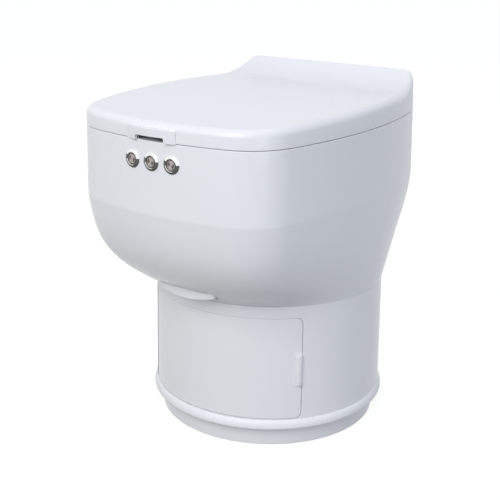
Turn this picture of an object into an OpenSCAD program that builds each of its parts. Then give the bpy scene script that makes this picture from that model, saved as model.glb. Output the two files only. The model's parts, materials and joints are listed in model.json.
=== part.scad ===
/* [Plinth and flange] */
// Radius of the plinth ring
plinth_r = 161; // [150:0.1:164]
// Height of the plinth ring
plinth_h = 28.2; // [20:0.1:40]
// Wall of the plinth ring
plinth_wall = 4; // [3:0.1:6]
// Largest radius of the flange ring
flange_r = 174.1; // [172:0.1:180]
// Height of the flange ring
flange_h = 13.3; // [11:0.1:18]
// Radius of the circle of floor bolts
bolt_circle_r = 140; // [120:0.5:148]
// Radius of a floor bolt hole
bolt_hole_r = 3.3; // [2.5:0.05:4.5]

/* [Pedestal and door] */
// Outer radius at the foot of the pedestal
drum_r_low = 170; // [166:0.1:172]
// Outer radius at the top of the pedestal
drum_r_high = 167.6; // [162:0.1:169]
// Height of the pedestal's top above the floor
drum_top = 211; // [206:0.5:220]
// Wall of the pedestal and of the door
drum_wall = 4; // [3.5:0.1:5]
// Door's left edge, in degrees from the front
door_left = -42.8; // [-46:0.1:-38]
// Door's right edge, in degrees from the front
door_right = 51; // [47:0.1:54]
// Height of the door's lower edge
door_low = 44.8; // [43:0.1:52]
// Height of the door's upper edge
door_high = 193.4; // [180:0.1:194]
// Seam round the door
door_seam = 1.2; // [0.8:0.1:1.6]
// Gap along the door's hinged edge
hinge_seam = 6; // [5:0.1:9]
// Corner radius of the door at the pull
door_corner = 12; // [6:0.5:20]
// Angle that the door opens
door_swing = 100; // [60:1:110]
// Height of the door pull
pull_h = 46; // [30:1:60]
// How far the door pull stands out
pull_out = 5.5; // [4:0.1:7]

/* [Body shell] */
// Height of the body's top edge
body_top = 445; // [440:0.5:452]
// Height of the band above the crease
band_h = 94; // [86:1:104]
// How far the crease stands out past the top edge
crease_out = 2; // [0:0.1:3]
// Wall of the body shell
shell_wall = 3.5; // [3:0.1:4.5]
// Front of the top outline
front_y = -262; // [-270:0.2:-256]
// Half the body's width
half_w = 179; // [176:0.2:184]
// Where the body is widest
widest_y = -41.3; // [-55:0.1:-35]
// Radius of the front wall
front_arc_r = 470; // [420:1:560]
// Radius of the side walls
side_arc_r = 639; // [560:1:700]
// Radius of the front corners
corner_r = 77; // [68:0.5:84]
// Rear of the top outline
rear_y = 154; // [150:0.1:157]
// Radius of the rear corners
rear_corner_r = 17; // [14:0.5:24]
// Radius where the belly meets the pedestal
belly_r = 168.3; // [168:0.1:170]

/* [Lid and seat] */
// Gap between the body's top edge and the lid
lid_gap = 1.3; // [1.2:0.1:1.6]
// Wall of the lid
lid_wall = 3; // [2.5:0.1:3.5]
// Rise of the lid's front edge above the body
lid_rise = 24; // [22:0.5:26]
// How much the lid's top climbs to its ramp
lid_climb = 7; // [4:0.5:9]
// Rise of the ramp at the rear
lid_ramp = 26.4; // [22:0.1:28]
// How far each side of the lid leans in at the height of its rear edge
lid_lean = 6.5; // [4:0.1:8]
// Where the ramp starts
ramp_y = 80; // [72:1:86]
// Rounding of the lid's top edge
lid_edge_r = 10; // [7:0.5:12]
// Rise of the hinge axis above the body
hinge_rise = 35; // [32:0.5:36]
// Distance of the hinge axis ahead of the lid's rear face
hinge_back = 8.6; // [8:0.1:9]
// Radius of the hinge shaft
hinge_shaft_r = 3; // [2.5:0.1:3.5]
// Angle that the lid opens
lid_swing = 100; // [80:1:100]
// Thickness of the seat ring
seat_t = 13; // [10:0.5:14]
// Half the width of the seat opening
seat_hole_w = 106; // [98:0.5:112]
// Half the length of the seat opening
seat_hole_l = 122; // [112:0.5:126]
// Middle of the seat opening
seat_hole_y = -82; // [-86:0.5:-76]

/* [Finger tab] */
// Half the width of the tab
tab_half_w = 38; // [32:0.5:44]
// How far the tab stands out at its middle
tab_out = 8; // [6:0.2:10]
// How far the tab stands out at its ends
tab_end_out = 3; // [2.6:0.1:4]
// Drop of the tab's lower edge below the body's top edge
tab_drop = 1.2; // [1:0.2:4]
// Height of the tab
tab_h = 18; // [16:0.5:22]
// Width of the slot under the tab
slot_w = 46; // [36:0.5:54]
// Height of the slot under the tab
slot_h = 8; // [7:0.1:9]

/* [Push buttons] */
// Distance between neighbouring buttons
button_pitch = 31.4; // [28:0.1:36]
// Drop of the buttons below the body's top edge
button_drop = 26; // [22:0.5:38]
// Radius of the bezel
bezel_r = 11.5; // [11:0.1:13]
// How far the bezel stands out
bezel_out = 2.6; // [2:0.1:3.5]
// Radius of the button cap
cap_r = 7.4; // [6:0.1:8]
// Radius of the switch barrel
barrel_r = 9.4; // [9.1:0.05:9.6]
// Length of the switch barrel behind the wall
barrel_l = 26; // [20:0.5:32]
// Travel of a button
button_travel = 1.5; // [1:0.1:1.8]

/* [Bowl] */
// Half the width of the bowl's mouth
bowl_half_w = 112; // [104:0.5:116]
// Half the length of the bowl's mouth
bowl_half_l = 128; // [118:0.5:132]
// Middle of the bowl's mouth
bowl_y = -82; // [-86:0.5:-76]
// Radius of the bowl's outlet
outlet_r = 56; // [50:0.5:60]
// Middle of the outlet and of what lies under it
drop_y = -20; // [-26:0.5:-14]
// Height of the outlet's lower edge above the pedestal
outlet_rise = 107; // [104:0.5:111]
// Wall of the bowl
bowl_wall = 2.5; // [2:0.1:3]

/* [Mechanism] */
// Travel of each sealing jaw
jaw_travel = 52; // [44:1:54]
// Length of the sealing jaws
jaw_l = 212; // [200:1:220]
// Radius of the guide rods
rod_r = 4; // [3:0.1:5]
// Radius of the jaw pinion
pinion_r = 10; // [8:0.1:12]
// Radius of the feed rollers
roller_r = 10; // [9:0.1:12]
// Travel of the shutter
shutter_travel = 120; // [80:1:125]
// Half the width of the shutter's handle
handle_half_w = 46.5; // [40:0.5:56]
// Outer radius of the film cartridge
cartridge_r = 98; // [90:0.5:104]
// Radius of the waste bin's rim
bin_r = 110; // [100:0.5:112]
// Radius of the fan rotor
fan_r = 26; // [22:0.5:28]
// Clearance of a running shaft
shaft_clear = 0.05; // [0.02:0.01:0.09]
// Gap between parts that pass each other
pass_gap = 0.6; // [0.4:0.05:0.8]
// Gap of a part that rests on a part of another body
rest_gap = 0.3; // [0.3:0.05:0.4]

/* [Hidden] */
$fn = 64;
white = "white";
steel = "silver";
dark = "dimgray";

crease_z = body_top - band_h;
lid_front_z = body_top + lid_rise;
hinge_z = body_top + hinge_rise;
tab_low = body_top - tab_drop;
button_z = body_top - button_drop;
outlet_z = drum_top + outlet_rise;

// Points of an arc round c, leaving out its first point
function arc(c, r, a0, a1, n) =
    [for (i = [1:n]) c + r * [cos(a0 + (a1 - a0) * i / n), sin(a0 + (a1 - a0) * i / n)]];
// Mirror image of a half outline, walked back
function mirrored(h) = [for (i = [len(h) - 2:-1:1]) [-h[i][0], h[i][1]]];

// Circles that the outline is made of: front, side, front corner and rear corner
front_c = [0, front_y + front_arc_r];
side_c = [half_w - side_arc_r, widest_y];
span = side_c - front_c;
span_l = norm(span);
along = (pow(front_arc_r - corner_r, 2) - pow(side_arc_r - corner_r, 2) + span_l * span_l) / (2 * span_l);
across = sqrt(pow(front_arc_r - corner_r, 2) - along * along);
unit = span / span_l;
corner_c = front_c + along * unit + across * [unit[1], -unit[0]] * (unit[0] > 0 ? 1 : -1)
    * (unit[1] > 0 ? 1 : 1);
corner_b = front_c + along * unit - across * [unit[1], -unit[0]];
corner_m = corner_b[0] > 0 && corner_b[1] < corner_c[1] ? corner_b : corner_c;
rear_c = [side_c[0] + sqrt(pow(side_arc_r - rear_corner_r, 2) - pow(rear_y - rear_corner_r - widest_y, 2)),
    rear_y - rear_corner_r];
a_front = atan2(corner_m[1] - front_c[1], corner_m[0] - front_c[0]);
a_side = atan2(corner_m[1] - side_c[1], corner_m[0] - side_c[0]);
a_rear = atan2(rear_c[1] - side_c[1], rear_c[0] - side_c[0]);

// Outline of the body, moved inwards by off; it keeps its points at every off
function half_outline(off) = concat([[0, front_y + off]],
    arc(front_c, front_arc_r - off, -90, a_front, 6),
    arc(corner_m, corner_r - off, a_front, a_side, 7),
    arc(side_c, side_arc_r - off, a_side, a_rear, 12),
    arc(rear_c, rear_corner_r - off, a_rear, 90, 4),
    [for (i = [1:5]) [rear_c[0] * (1 - i / 5), rear_y - off]]);
function outline(off) = let (h = half_outline(off)) concat(h, mirrored(h));
ring_n = len(outline(0));

// Faces between rings of the same number of points; each list is one strip of triangles
function strip(a, b, n) = [for (i = [0:n - 1]) let (j = (i + 1) % n)
    each [[a * n + i, b * n + i, b * n + j], [a * n + i, b * n + j, a * n + j]]];
// A closed skin through rings that turn back on themselves
module closed_skin(rings) {
    n = len(rings[0]);
    k = len(rings);
    polyhedron(points = [for (r = rings) each r],
        faces = [for (i = [0:k - 1]) each strip(i, (i + 1) % k, n)]);
}
// A solid through rings, ended by a fan at each end point
module capped_skin(low, rings, high) {
    n = len(rings[0]);
    k = len(rings);
    polyhedron(points = concat([for (r = rings) each r], [low, high]),
        faces = concat([for (i = [0:k - 2]) each strip(i, i + 1, n)],
            [for (i = [0:n - 1]) [k * n, i, (i + 1) % n]],
            [for (i = [0:n - 1]) [k * n + 1, (k - 1) * n + (i + 1) % n, (k - 1) * n + i]]));
}

// Belly: the outline turns into a circle, late and roundly at the front and the sides, evenly at the rear
function front_share(x, y) = let (u = min(1, max(0, (0.74 - y / norm([x, y])) / 0.84))) u * u * (3 - 2 * u);
function belly_turn(x, y, v) = let (s = front_share(x, y))
    s * (0.21 * v + 0.79 * (1 - pow(1 - pow(v, 3.5), 1.2))) + (1 - s) * (0.23 * v + 0.77 * pow(v, 1.86));
function belly_ring(v, wall) = let (o = outline(-crease_out), z = crease_z + (drum_top - crease_z) * v)
    [for (p = o) let (t = belly_turn(p[0], p[1], v), q = p * (1 - t) + belly_r * t * p / norm(p),
        m = q * (1 - wall / norm(q))) [m[0], m[1], z]];
function flat_ring(off, z) = [for (p = outline(off)) [p[0], p[1], z]];
belly_steps = [1, 0.97, 0.93, 0.88, 0.82, 0.75, 0.66, 0.54, 0.38, 0.2, 0];

// Lid's top height at a place, before its edge is rounded
function lid_z(y) = lid_front_z + lid_climb * (1 - pow((ramp_y - min(y, ramp_y)) / (ramp_y - front_y), 2))
    + lid_ramp * pow(max(0, y - ramp_y) / ramp_run, 2.5);
// Rounding of the lid's edge at a place: it sharpens round the rear corner
function edge_at(y) = let (u = max(0, (y - rear_y + rear_corner_r) / rear_corner_r))
    lid_edge_r + (rear_edge_r - lid_edge_r) * u * u;
// Share by which the lid narrows at a height
function lean_at(z) = lid_lean / half_w * pow((z - lid_low) / (lid_peak - lid_low), 2);
// Ring on the lid's rounding: turn is 0 at its start and 90 where it meets the top
function lid_ring(off, turn, s, drop) = let (o = outline(0), i = outline(lid_edge_r))
    [for (k = [0:ring_n - 1]) let (e = edge_at(o[k][1]), g = off + (e - off) * (1 - cos(turn)),
        p = o[k] + (i[k] - o[k]) * g / lid_edge_r, q = [p[0] * s, (p[1] - lid_mid) * s + lid_mid],
        z = lid_z(q[1]) - drop - (e - off) * (1 - sin(turn)))
        [q[0] * (1 - lean_at(z)), q[1], z]];
ramp_run = rear_y - ramp_y;
rear_edge_r = lid_wall + 0.5;
lid_mid = -60;
lid_low = body_top + lid_gap;
lid_peak = lid_front_z + lid_climb + lid_ramp;
round_steps = [0, 30, 60, 90];
scale_steps = [0.96, 0.92, 0.87, 0.81, 0.74, 0.66, 0.5, 0.28];
function lid_skin(off, drop) = concat([flat_ring(off, lid_low)],
    [for (a = round_steps) lid_ring(off, a, 1, drop)],
    [for (s = scale_steps) lid_ring(off, 90, s, drop)]);
module lid_solid(off, drop, low) {
    rings = lid_skin(off, drop);
    lowered = concat([[for (p = rings[0]) [p[0], p[1], low]]], [for (i = [1:len(rings) - 1]) rings[i]]);
    capped_skin([0, lid_mid, low], lowered, [0, lid_mid, lid_z(lid_mid) - drop]);
}

hinge_y = rear_y - hinge_back;
knuckle_r = hinge_shaft_r + 4;
// Places of the hinge parts along the shaft, on the right side
lid_knuckle_x = [46, 98];
knuckle_w = 8;
bracket_x = 62;
bracket_w = 26;
bracket_foot = 28;
bracket_foot_t = 4;
bracket_screw_y = 19;
notch_side = 3;
slot_sag = slot_w * slot_w / (8 * front_arc_r);

module x_bar(x0, w, r, y, z) translate([x0, y, z]) rotate([0, 90, 0]) cylinder(h = w, r = r);
module both_sides() {
    children();
    mirror([1, 0, 0]) children();
}
// Finger tab, seen from above: a shallow D on the front wall
module tab_plan(inner) {
    tab_end_y = front_y + tab_half_w * tab_half_w / (2 * front_arc_r) - tab_end_out;
    bow = tab_out - tab_end_out;
    polygon(concat([for (i = [-8:8]) let (u = i / 8) [tab_half_w * u, tab_end_y - bow * (1 - u * u)]],
        [for (i = [8:-1:-8]) let (x = tab_half_w * i / 8)
            [x, front_y + front_arc_r - sqrt(pow(front_arc_r, 2) - x * x) + inner]]));
}
module lid() color(white) difference() {
    union() {
        difference() {
            lid_solid(0, 0, lid_low);
            lid_solid(lid_wall, lid_wall, lid_low - 1);
        }
        translate([0, 0, lid_low]) linear_extrude(tab_low + tab_h - lid_low) tab_plan(lid_wall / 2);
        translate([0, 0, tab_low]) linear_extrude(lid_low - tab_low + 1) tab_plan(-pass_gap);
        both_sides() for (x = lid_knuckle_x) {
            x_bar(x, knuckle_w, knuckle_r, hinge_y, hinge_z);
            translate([x, hinge_y - knuckle_r, hinge_z])
                cube([knuckle_w, knuckle_r + hinge_back - lid_wall / 2, knuckle_r]);
        }
    }
    translate([-slot_w / 2, front_y - tab_out - 1, tab_low - 1])
        cube([slot_w, tab_out + lid_wall + slot_sag + 2, slot_h + 1]);
    x_bar(-lid_knuckle_x[1] - knuckle_w - 1, 2 * (lid_knuckle_x[1] + knuckle_w + 1),
        hinge_shaft_r + shaft_clear, hinge_y, hinge_z);
    both_sides() translate([bracket_x - notch_side, rear_y - lid_wall - 2, lid_low - 1])
        cube([bracket_w + 2 * notch_side, lid_wall + 3, hinge_z + knuckle_r + 2 - lid_low]);
}
bumper_r = 6;
seat_low = body_top + 3;
seat_top = seat_low + seat_t;
seat_gap = 5;
seat_rear = hinge_y - 30;
foot_places = [[115, -150], [-115, -150], [135, 40], [-135, 40]];
pad_sink = 1.5;
module seat_plan() difference() {
    intersection() {
        polygon(outline(lid_wall + seat_gap));
        translate([-half_w, front_y]) square([2 * half_w, seat_rear - front_y]);
    }
    seat_hole();
}
module seat_hole() translate([0, seat_hole_y]) scale_oval(seat_hole_w, seat_hole_l);
// An oval as a polygon, so that it stays exact
module scale_oval(a, b) polygon([for (i = [0:59]) [a * cos(6 * i), b * sin(6 * i)]]);
module seat() color(white) difference() {
    translate([0, 0, seat_low]) linear_extrude(seat_t) seat_plan();
    for (p = foot_places) translate([p[0], p[1], seat_low - 1]) cylinder(h = pad_sink + 1, r = bumper_r);
}
module seat_feet() color(dark) for (p = foot_places)
    translate([p[0], p[1], body_top]) cylinder(h = seat_low - body_top + pad_sink, r = bumper_r);
module lid_bumpers() color(dark) for (p = foot_places) {
    top = lid_z(p[1] - bumper_r) - lid_wall;
    translate([p[0], p[1], seat_top + rest_gap]) cylinder(h = top - seat_top - rest_gap - 0.05, r = bumper_r);
}
module hinge_shaft() color(steel) x_bar(-lid_knuckle_x[1] - knuckle_w - 2,
    2 * (lid_knuckle_x[1] + knuckle_w + 2), hinge_shaft_r, hinge_y, hinge_z);
module hinge_brackets() color(white) both_sides() difference() {
    union() {
        x_bar(bracket_x, bracket_w, knuckle_r - 1, hinge_y, hinge_z);
        translate([bracket_x, hinge_y - knuckle_r, body_top])
            cube([bracket_w, 2 * knuckle_r - 2, hinge_z - body_top]);
        translate([bracket_x, hinge_y - bracket_foot, body_top]) cube([bracket_w, bracket_foot, bracket_foot_t]);
    }
    x_bar(bracket_x - 1, bracket_w + 2, hinge_shaft_r, hinge_y, hinge_z);
    translate([bracket_x + bracket_w / 2, hinge_y - bracket_screw_y, body_top - 1])
        cylinder(h = bracket_foot_t + 2, r = screw_r);
}
screw_r = 2;
screw_head_r = 4;
deck_t = 4;
deck_low = body_top - deck_t;
deck_screw_places = [[128, -130], [-128, -130], [140, 20], [-140, 20],
    [bracket_x + bracket_w / 2, hinge_y - bracket_screw_y],
    [-bracket_x - bracket_w / 2, hinge_y - bracket_screw_y]];
module deck() color(white) difference() {
    translate([0, 0, deck_low]) linear_extrude(deck_t) polygon(outline(shell_wall));
    translate([0, 0, deck_low - 1]) linear_extrude(deck_t + 2) translate([0, bowl_y])
        scale_oval(bowl_half_w, bowl_half_l);
    for (p = deck_screw_places) translate([p[0], p[1], deck_low - 1]) cylinder(h = deck_t + 2, r = screw_r);
}
module deck_screws() color(steel) for (i = [0:len(deck_screw_places) - 1]) {
    p = deck_screw_places[i];
    z = i > 3 ? body_top + bracket_foot_t : body_top;
    translate([p[0], p[1], z]) cylinder(h = 1.8, r = screw_head_r);
    translate([p[0], p[1], z - 12]) cylinder(h = 12.5, r = screw_r);
}
module body_shell() color(white) difference() {
    closed_skin(concat([for (v = belly_steps) belly_ring(v, 0)], [flat_ring(0, body_top)],
        [flat_ring(shell_wall, body_top)],
        [for (i = [len(belly_steps) - 1:-1:0]) belly_ring(belly_steps[i], shell_wall)]));
    for (x = [-button_pitch, 0, button_pitch]) button_frame(x) rotate([90, 0, 0]) {
        translate([0, 0, -10]) cylinder(h = 20, r = barrel_r);
        cylinder(h = 10, r = bezel_r + 0.3);
    }
    translate([-handle_half_w - pass_gap, handle_front - 10, handle_low - pass_gap])
        cube([2 * (handle_half_w + pass_gap), 60, handle_high - handle_low + 2 * pass_gap]);
    translate([0, rear_y - 20, grille_z]) rotate([-90, 0, 0]) cylinder(h = 40, r = grille_r - 5);
    translate([inlet_x, rear_y - 20, inlet_z]) rotate([-90, 0, 0]) cylinder(h = 40, r = inlet_r);
}

// Place of a flat seat in the front wall, turned square to it
seat_out = crease_out * (button_drop - bezel_r) / band_h;
module button_frame(x) {
    a = asin(x / front_arc_r);
    translate([x, front_y - seat_out + front_arc_r * (1 - cos(a)), button_z]) rotate([0, 0, a]) children();
}
// Turns a profile of radius and depth so that depth runs back from the wall's face
module turned_back() rotate([-90, 0, 0]) rotate_extrude() children();
cap_l = 5;
cap_sink = 0.5;
module push_switch(x) color(steel) button_frame(x) turned_back() difference() {
    polygon([[0, -bezel_out], [bezel_r - 1.8, -bezel_out], [bezel_r, -bezel_out + 1.4], [bezel_r, 0],
        [barrel_r - shaft_clear, 0], [barrel_r - shaft_clear, barrel_l], [0, barrel_l]]);
    polygon([[0, -bezel_out - 1], [cap_r + shaft_clear, -bezel_out - 1], [cap_r + shaft_clear,
        cap_sink - bezel_out + cap_l + button_travel + rest_gap],
        [0, cap_sink - bezel_out + cap_l + button_travel + rest_gap]]);
}
module button_cap(x) color("rosybrown") button_frame(x) turned_back()
    translate([0, cap_sink - bezel_out])
        polygon([[0, 0.25], [cap_r - 1.2, 0], [cap_r, 0.7], [cap_r, cap_l], [0, cap_l]]);
module switch_left() push_switch(-button_pitch);
module switch_middle() push_switch(0);
module switch_right() push_switch(button_pitch);
module button_left() button_cap(-button_pitch);
module button_middle() button_cap(0);
module button_right() button_cap(button_pitch);
nut_t = 3;
module switch_nuts() color(steel) for (x = [-button_pitch, 0, button_pitch]) button_frame(x)
    translate([0, shell_wall + 0.2, 0]) rotate([-90, 0, 0]) difference() {
        cylinder(h = nut_t, r = barrel_r + 3, $fn = 6);
        translate([0, 0, -1]) cylinder(h = nut_t + 2, r = barrel_r - shaft_clear);
    }

bowl_n = 60;
bowl_rim_t = 2;
bowl_rim = 5;
throat_z = drum_top + 133;
bowl_steps = [1, 0.85, 0.68, 0.5, 0.32, 0.15, 0];
function bowl_ring(d, grow) = let (t = pow(d, 1.5), a = bowl_half_w * (1 - t) + outlet_r * t + grow,
    b = bowl_half_l * (1 - t) + outlet_r * t + grow, y = bowl_y * (1 - t) + drop_y * t,
    z = body_top + (throat_z - body_top) * d)
    [for (i = [0:bowl_n - 1]) [a * cos(360 * i / bowl_n), y + b * sin(360 * i / bowl_n), z]];
function at_z(ring, z) = [for (p = ring) [p[0], p[1], z]];
bowl_fit = 0.2;
module bowl() color("whitesmoke") closed_skin(concat(
    [at_z(bowl_ring(1, -bowl_fit), outlet_z)],
    [for (d = bowl_steps) bowl_ring(d, -bowl_fit)],
    [bowl_ring(0, bowl_rim), at_z(bowl_ring(0, bowl_rim), body_top + bowl_rim_t),
        at_z(bowl_ring(0, -bowl_wall - bowl_fit), body_top + bowl_rim_t)],
    [for (i = [len(bowl_steps) - 1:-1:0]) bowl_ring(bowl_steps[i], -bowl_wall - bowl_fit)],
    [at_z(bowl_ring(1, -bowl_wall - bowl_fit), outlet_z)]));

frame_low = drum_top + 57;
frame_top = frame_low + 36;
frame_x = 112;
frame_side = 14;
frame_half_l = 88;
frame_front = drop_y - frame_half_l;
frame_rear = drop_y + frame_half_l;
frame_end = 8;
module film_cartridge() color("lightsteelblue") translate([0, drop_y, frame_top])
    rotate_extrude() difference() {
    translate([outlet_r + 6, 0]) square([cartridge_r - outlet_r - 6, 38]);
    translate([outlet_r + 9, 3]) square([cartridge_r - outlet_r - 12, 32]);
    translate([outlet_r + 5, 33]) square([6, 2]);
}
leg = 12;
module seal_frame() color("lightgray") difference() {
    union() {
        translate([-frame_x - frame_side, frame_front - frame_end, frame_low])
            cube([2 * (frame_x + frame_side), frame_rear - frame_front + 2 * frame_end, frame_top - frame_low]);
        for (x = [-frame_x, frame_x - leg], y = [frame_front - frame_end, frame_rear + frame_end - leg])
            translate([x, y, drum_top]) cube([leg, leg, frame_low - drum_top + 1]);
    }
    translate([-frame_x, frame_front, frame_low - 1])
        cube([2 * frame_x, frame_rear - frame_front, frame_top - frame_low + 2]);
    for (x = [-rod_x, rod_x]) translate([x, frame_front - frame_end - 1, jaw_z]) rotate([-90, 0, 0])
        cylinder(h = frame_rear - frame_front + 2 * frame_end + 2, r = rod_r);
}
jaw_z = frame_low + 18;
jaw_h = 18;
jaw_d = 14;
jaw_tip = 3.5;
jaw_open = jaw_travel + jaw_tip + 0.5;
rod_x = jaw_l / 2 - rod_r - 5;
module guide_rods() color(steel) for (x = [-rod_x, rod_x]) translate([x, frame_front - frame_end, jaw_z])
    rotate([-90, 0, 0]) cylinder(h = frame_rear - frame_front + 2 * frame_end, r = rod_r);

teeth = 16;
rack_pitch = 2 * PI * pinion_r / teeth;
tooth_up = 1;
tooth_down = 1.4;
pinion_x = 84;
rack_z = frame_low + 29;
rack_h = 6;
web_z = jaw_z + jaw_h / 2 - 3;
// Outline of a gear whose first tooth points along X after a turn
module gear_plan(r, n, turn) rotate(turn) polygon([for (i = [0:n - 1]) each [
    for (k = [[-0.30, -tooth_down], [-0.14, tooth_up], [0.14, tooth_up], [0.30, -tooth_down]])
        (r + k[1]) * [cos(360 * (i + k[0]) / n), sin(360 * (i + k[0]) / n)]]]);
// Rack on the left of its pitch line, with a gap between teeth at y = 0
module rack_plan(y0, y1) {
    translate([-tooth_down - 5, y0]) square([5, y1 - y0]);
    for (i = [ceil(y0 / rack_pitch):floor(y1 / rack_pitch) - 1]) translate([0, (i + 0.5) * rack_pitch])
        polygon([[-tooth_down - 0.5, -0.28 * rack_pitch], [tooth_up, -0.12 * rack_pitch],
            [tooth_up, 0.12 * rack_pitch], [-tooth_down - 0.5, 0.28 * rack_pitch]]);
}
module jaw_bar() difference() {
    translate([-jaw_l / 2, 0, jaw_z - jaw_h / 2]) cube([jaw_l, jaw_d, jaw_h]);
    for (x = [-rod_x, rod_x]) translate([x, -1, jaw_z]) rotate([-90, 0, 0])
        cylinder(h = jaw_d + 2, r = rod_r + shaft_clear);
}
module jaw_front() color("darkgray") {
    translate([0, drop_y - jaw_open - jaw_d, 0]) jaw_bar();
    translate([pinion_x - pinion_r, drop_y, rack_z]) linear_extrude(rack_h)
        rack_plan(-jaw_open - jaw_d / 2, pinion_r + 4);
    translate([pinion_x - pinion_r - tooth_down - 5, drop_y - jaw_open - jaw_d, web_z])
        cube([5, jaw_d, rack_z + rack_h - web_z]);
}
module jaw_rear() color("darkgray") {
    translate([0, drop_y + jaw_open, 0]) jaw_bar();
    translate([pinion_x + pinion_r, drop_y, rack_z]) linear_extrude(rack_h)
        rotate(180) rack_plan(-jaw_open - jaw_d / 2, pinion_r + 4);
    translate([pinion_x + pinion_r + tooth_down, drop_y + jaw_open, web_z])
        cube([5, jaw_d, rack_z + rack_h - web_z]);
}
tip_half = 76;
module heater_bar() color("goldenrod") translate([-tip_half, drop_y - jaw_open, jaw_z - 5])
    cube([2 * tip_half, jaw_tip, 10]);
module jaw_pad() color("firebrick") translate([-tip_half, drop_y + jaw_open - jaw_tip, jaw_z - 6])
    cube([2 * tip_half, jaw_tip, 12]);
motor_top = frame_low - 6;
pinion_shaft_r = 2.5;
module jaw_pinion() color("ivory") translate([pinion_x, drop_y, 0]) {
    translate([0, 0, rack_z - 1]) linear_extrude(rack_h + 0.5) gear_plan(pinion_r, teeth, 0);
    translate([0, 0, motor_top - 12]) cylinder(h = rack_z - motor_top + 13, r = pinion_shaft_r);
}
module jaw_motor() color(steel) translate([pinion_x, drop_y, 0]) difference() {
    union() {
        translate([0, 0, drum_top]) cylinder(h = motor_top - 4 - drum_top, r = 13);
        translate([0, 0, motor_top - 5]) cylinder(h = 5, r = 6);
    }
    translate([0, 0, motor_top - 12 - rest_gap]) cylinder(h = 20, r = pinion_shaft_r + shaft_clear);
}

roller_z = drum_top + 37;
roller_half_l = 58;
roller_axis = roller_r + 0.3;
roller_shaft_r = 4;
cheek_w = 7;
roller_teeth = 20;
gear_w = 8;
gear_x = roller_half_l + pass_gap + cheek_w + pass_gap;
module feed_roller(side, turn, tail) color("darkslategray")
    translate([0, drop_y + side * roller_axis, roller_z])
    rotate([0, -90, 0]) {
        translate([0, 0, -roller_half_l]) cylinder(h = 2 * roller_half_l, r = roller_r);
        translate([0, 0, -roller_half_l - cheek_w - 2]) cylinder(h = roller_half_l, r = roller_shaft_r);
        cylinder(h = gear_x + gear_w + tail, r = roller_shaft_r);
        translate([0, 0, gear_x]) linear_extrude(gear_w) gear_plan(roller_axis, roller_teeth, turn);
    }
module feed_roller_front() feed_roller(-1, 90, 9);
module feed_roller_rear() feed_roller(1, 90 + 180 / roller_teeth, 0);
feed_motor_x = gear_x + gear_w + pass_gap;
feed_motor_r = 13;
module feed_motor() color(steel) translate([0, drop_y - roller_axis, 0]) difference() {
    union() {
        translate([-feed_motor_x - 34, 0, roller_z]) rotate([0, 90, 0]) cylinder(h = 34, r = feed_motor_r);
        translate([-feed_motor_x - 26, -9, drum_top]) cube([20, 18, roller_z - drum_top]);
    }
    translate([-feed_motor_x - 10, 0, roller_z]) rotate([0, 90, 0])
        cylinder(h = 20, r = roller_shaft_r + shaft_clear);
}
shutter_z = drum_top + 13;
shutter_t = 3;
gate_half_w = 44;
gate_rear = drop_y + 66;
gate_front = gate_rear - 110;
blade_half_w = gate_half_w + 1.5;
rail = 12;
guide_half_w = roller_half_l + pass_gap + cheek_w;
guide_top = drum_top + 19;
guide_front = 78;
guide_rear = 20;
module shutter_frame() color("lightgray") difference() {
    union() {
        translate([-guide_half_w, gate_front - guide_front, drum_top])
            cube([2 * guide_half_w, gate_rear - gate_front + guide_front + guide_rear, guide_top - drum_top]);
        both_sides() translate([roller_half_l + pass_gap, drop_y - 2 * roller_r - 6, guide_top - 1])
            cube([cheek_w, 4 * roller_r + 12, roller_z + 12 - guide_top]);
    }
    translate([-blade_half_w - rest_gap, gate_front - guide_front - 1, shutter_z - rest_gap])
        cube([2 * (blade_half_w + rest_gap), gate_rear - gate_front + guide_front + rail + 1,
            shutter_t + 2 * rest_gap]);
    translate([-gate_half_w, gate_front, drum_top - 1])
        cube([2 * gate_half_w, gate_rear - gate_front, guide_top - drum_top + 2]);
    for (s = [-1, 1]) x_bar(-guide_half_w - 1, 2 * guide_half_w + 2, roller_shaft_r + shaft_clear,
        drop_y + s * roller_axis, roller_z);
}
handle_front = -203;
handle_d = 32;
handle_high = drum_top + 26;
handle_end = drum_top + 17.5;
handle_low = drum_top + 11.2;
module shutter() color("white") {
    translate([-blade_half_w, handle_front + handle_d - 2, shutter_z])
        cube([2 * blade_half_w, gate_rear + 10 - handle_front - handle_d, shutter_t]);
    intersection() {
        translate([0, handle_front + handle_d, 0]) rotate([90, 0, 0]) linear_extrude(handle_d)
            polygon(concat([[handle_half_w, handle_high], [-handle_half_w, handle_high]],
                [for (i = [-6:6]) let (u = i / 6) [(handle_half_w - 1) * sin(90 * u),
                    handle_end - (handle_end - handle_low) * (1 - u * u)]]));
        cylinder(h = handle_high + 1, r = -handle_front);
    }
}

flange_top = plinth_h + flange_h;
function drum_r(z) = drum_r_low + (drum_r_high - drum_r_low) * (z - plinth_h) / (drum_top - plinth_h);
plate_t = 6;
door_half_angle = (door_right - door_left) / 2;
door_mid = (door_right + door_left) / 2;
door_r = drum_r((door_low + door_high) / 2);
door_half_w = door_r * sin(door_half_angle);
hinge_a = door_left + 1.4;
door_axis_r = drum_r_high - drum_wall + 0.9;
door_pin_r = 1.5;
door_knuckle_r = 3;
door_axis = door_axis_r * [sin(hinge_a), -cos(hinge_a)];
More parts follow.
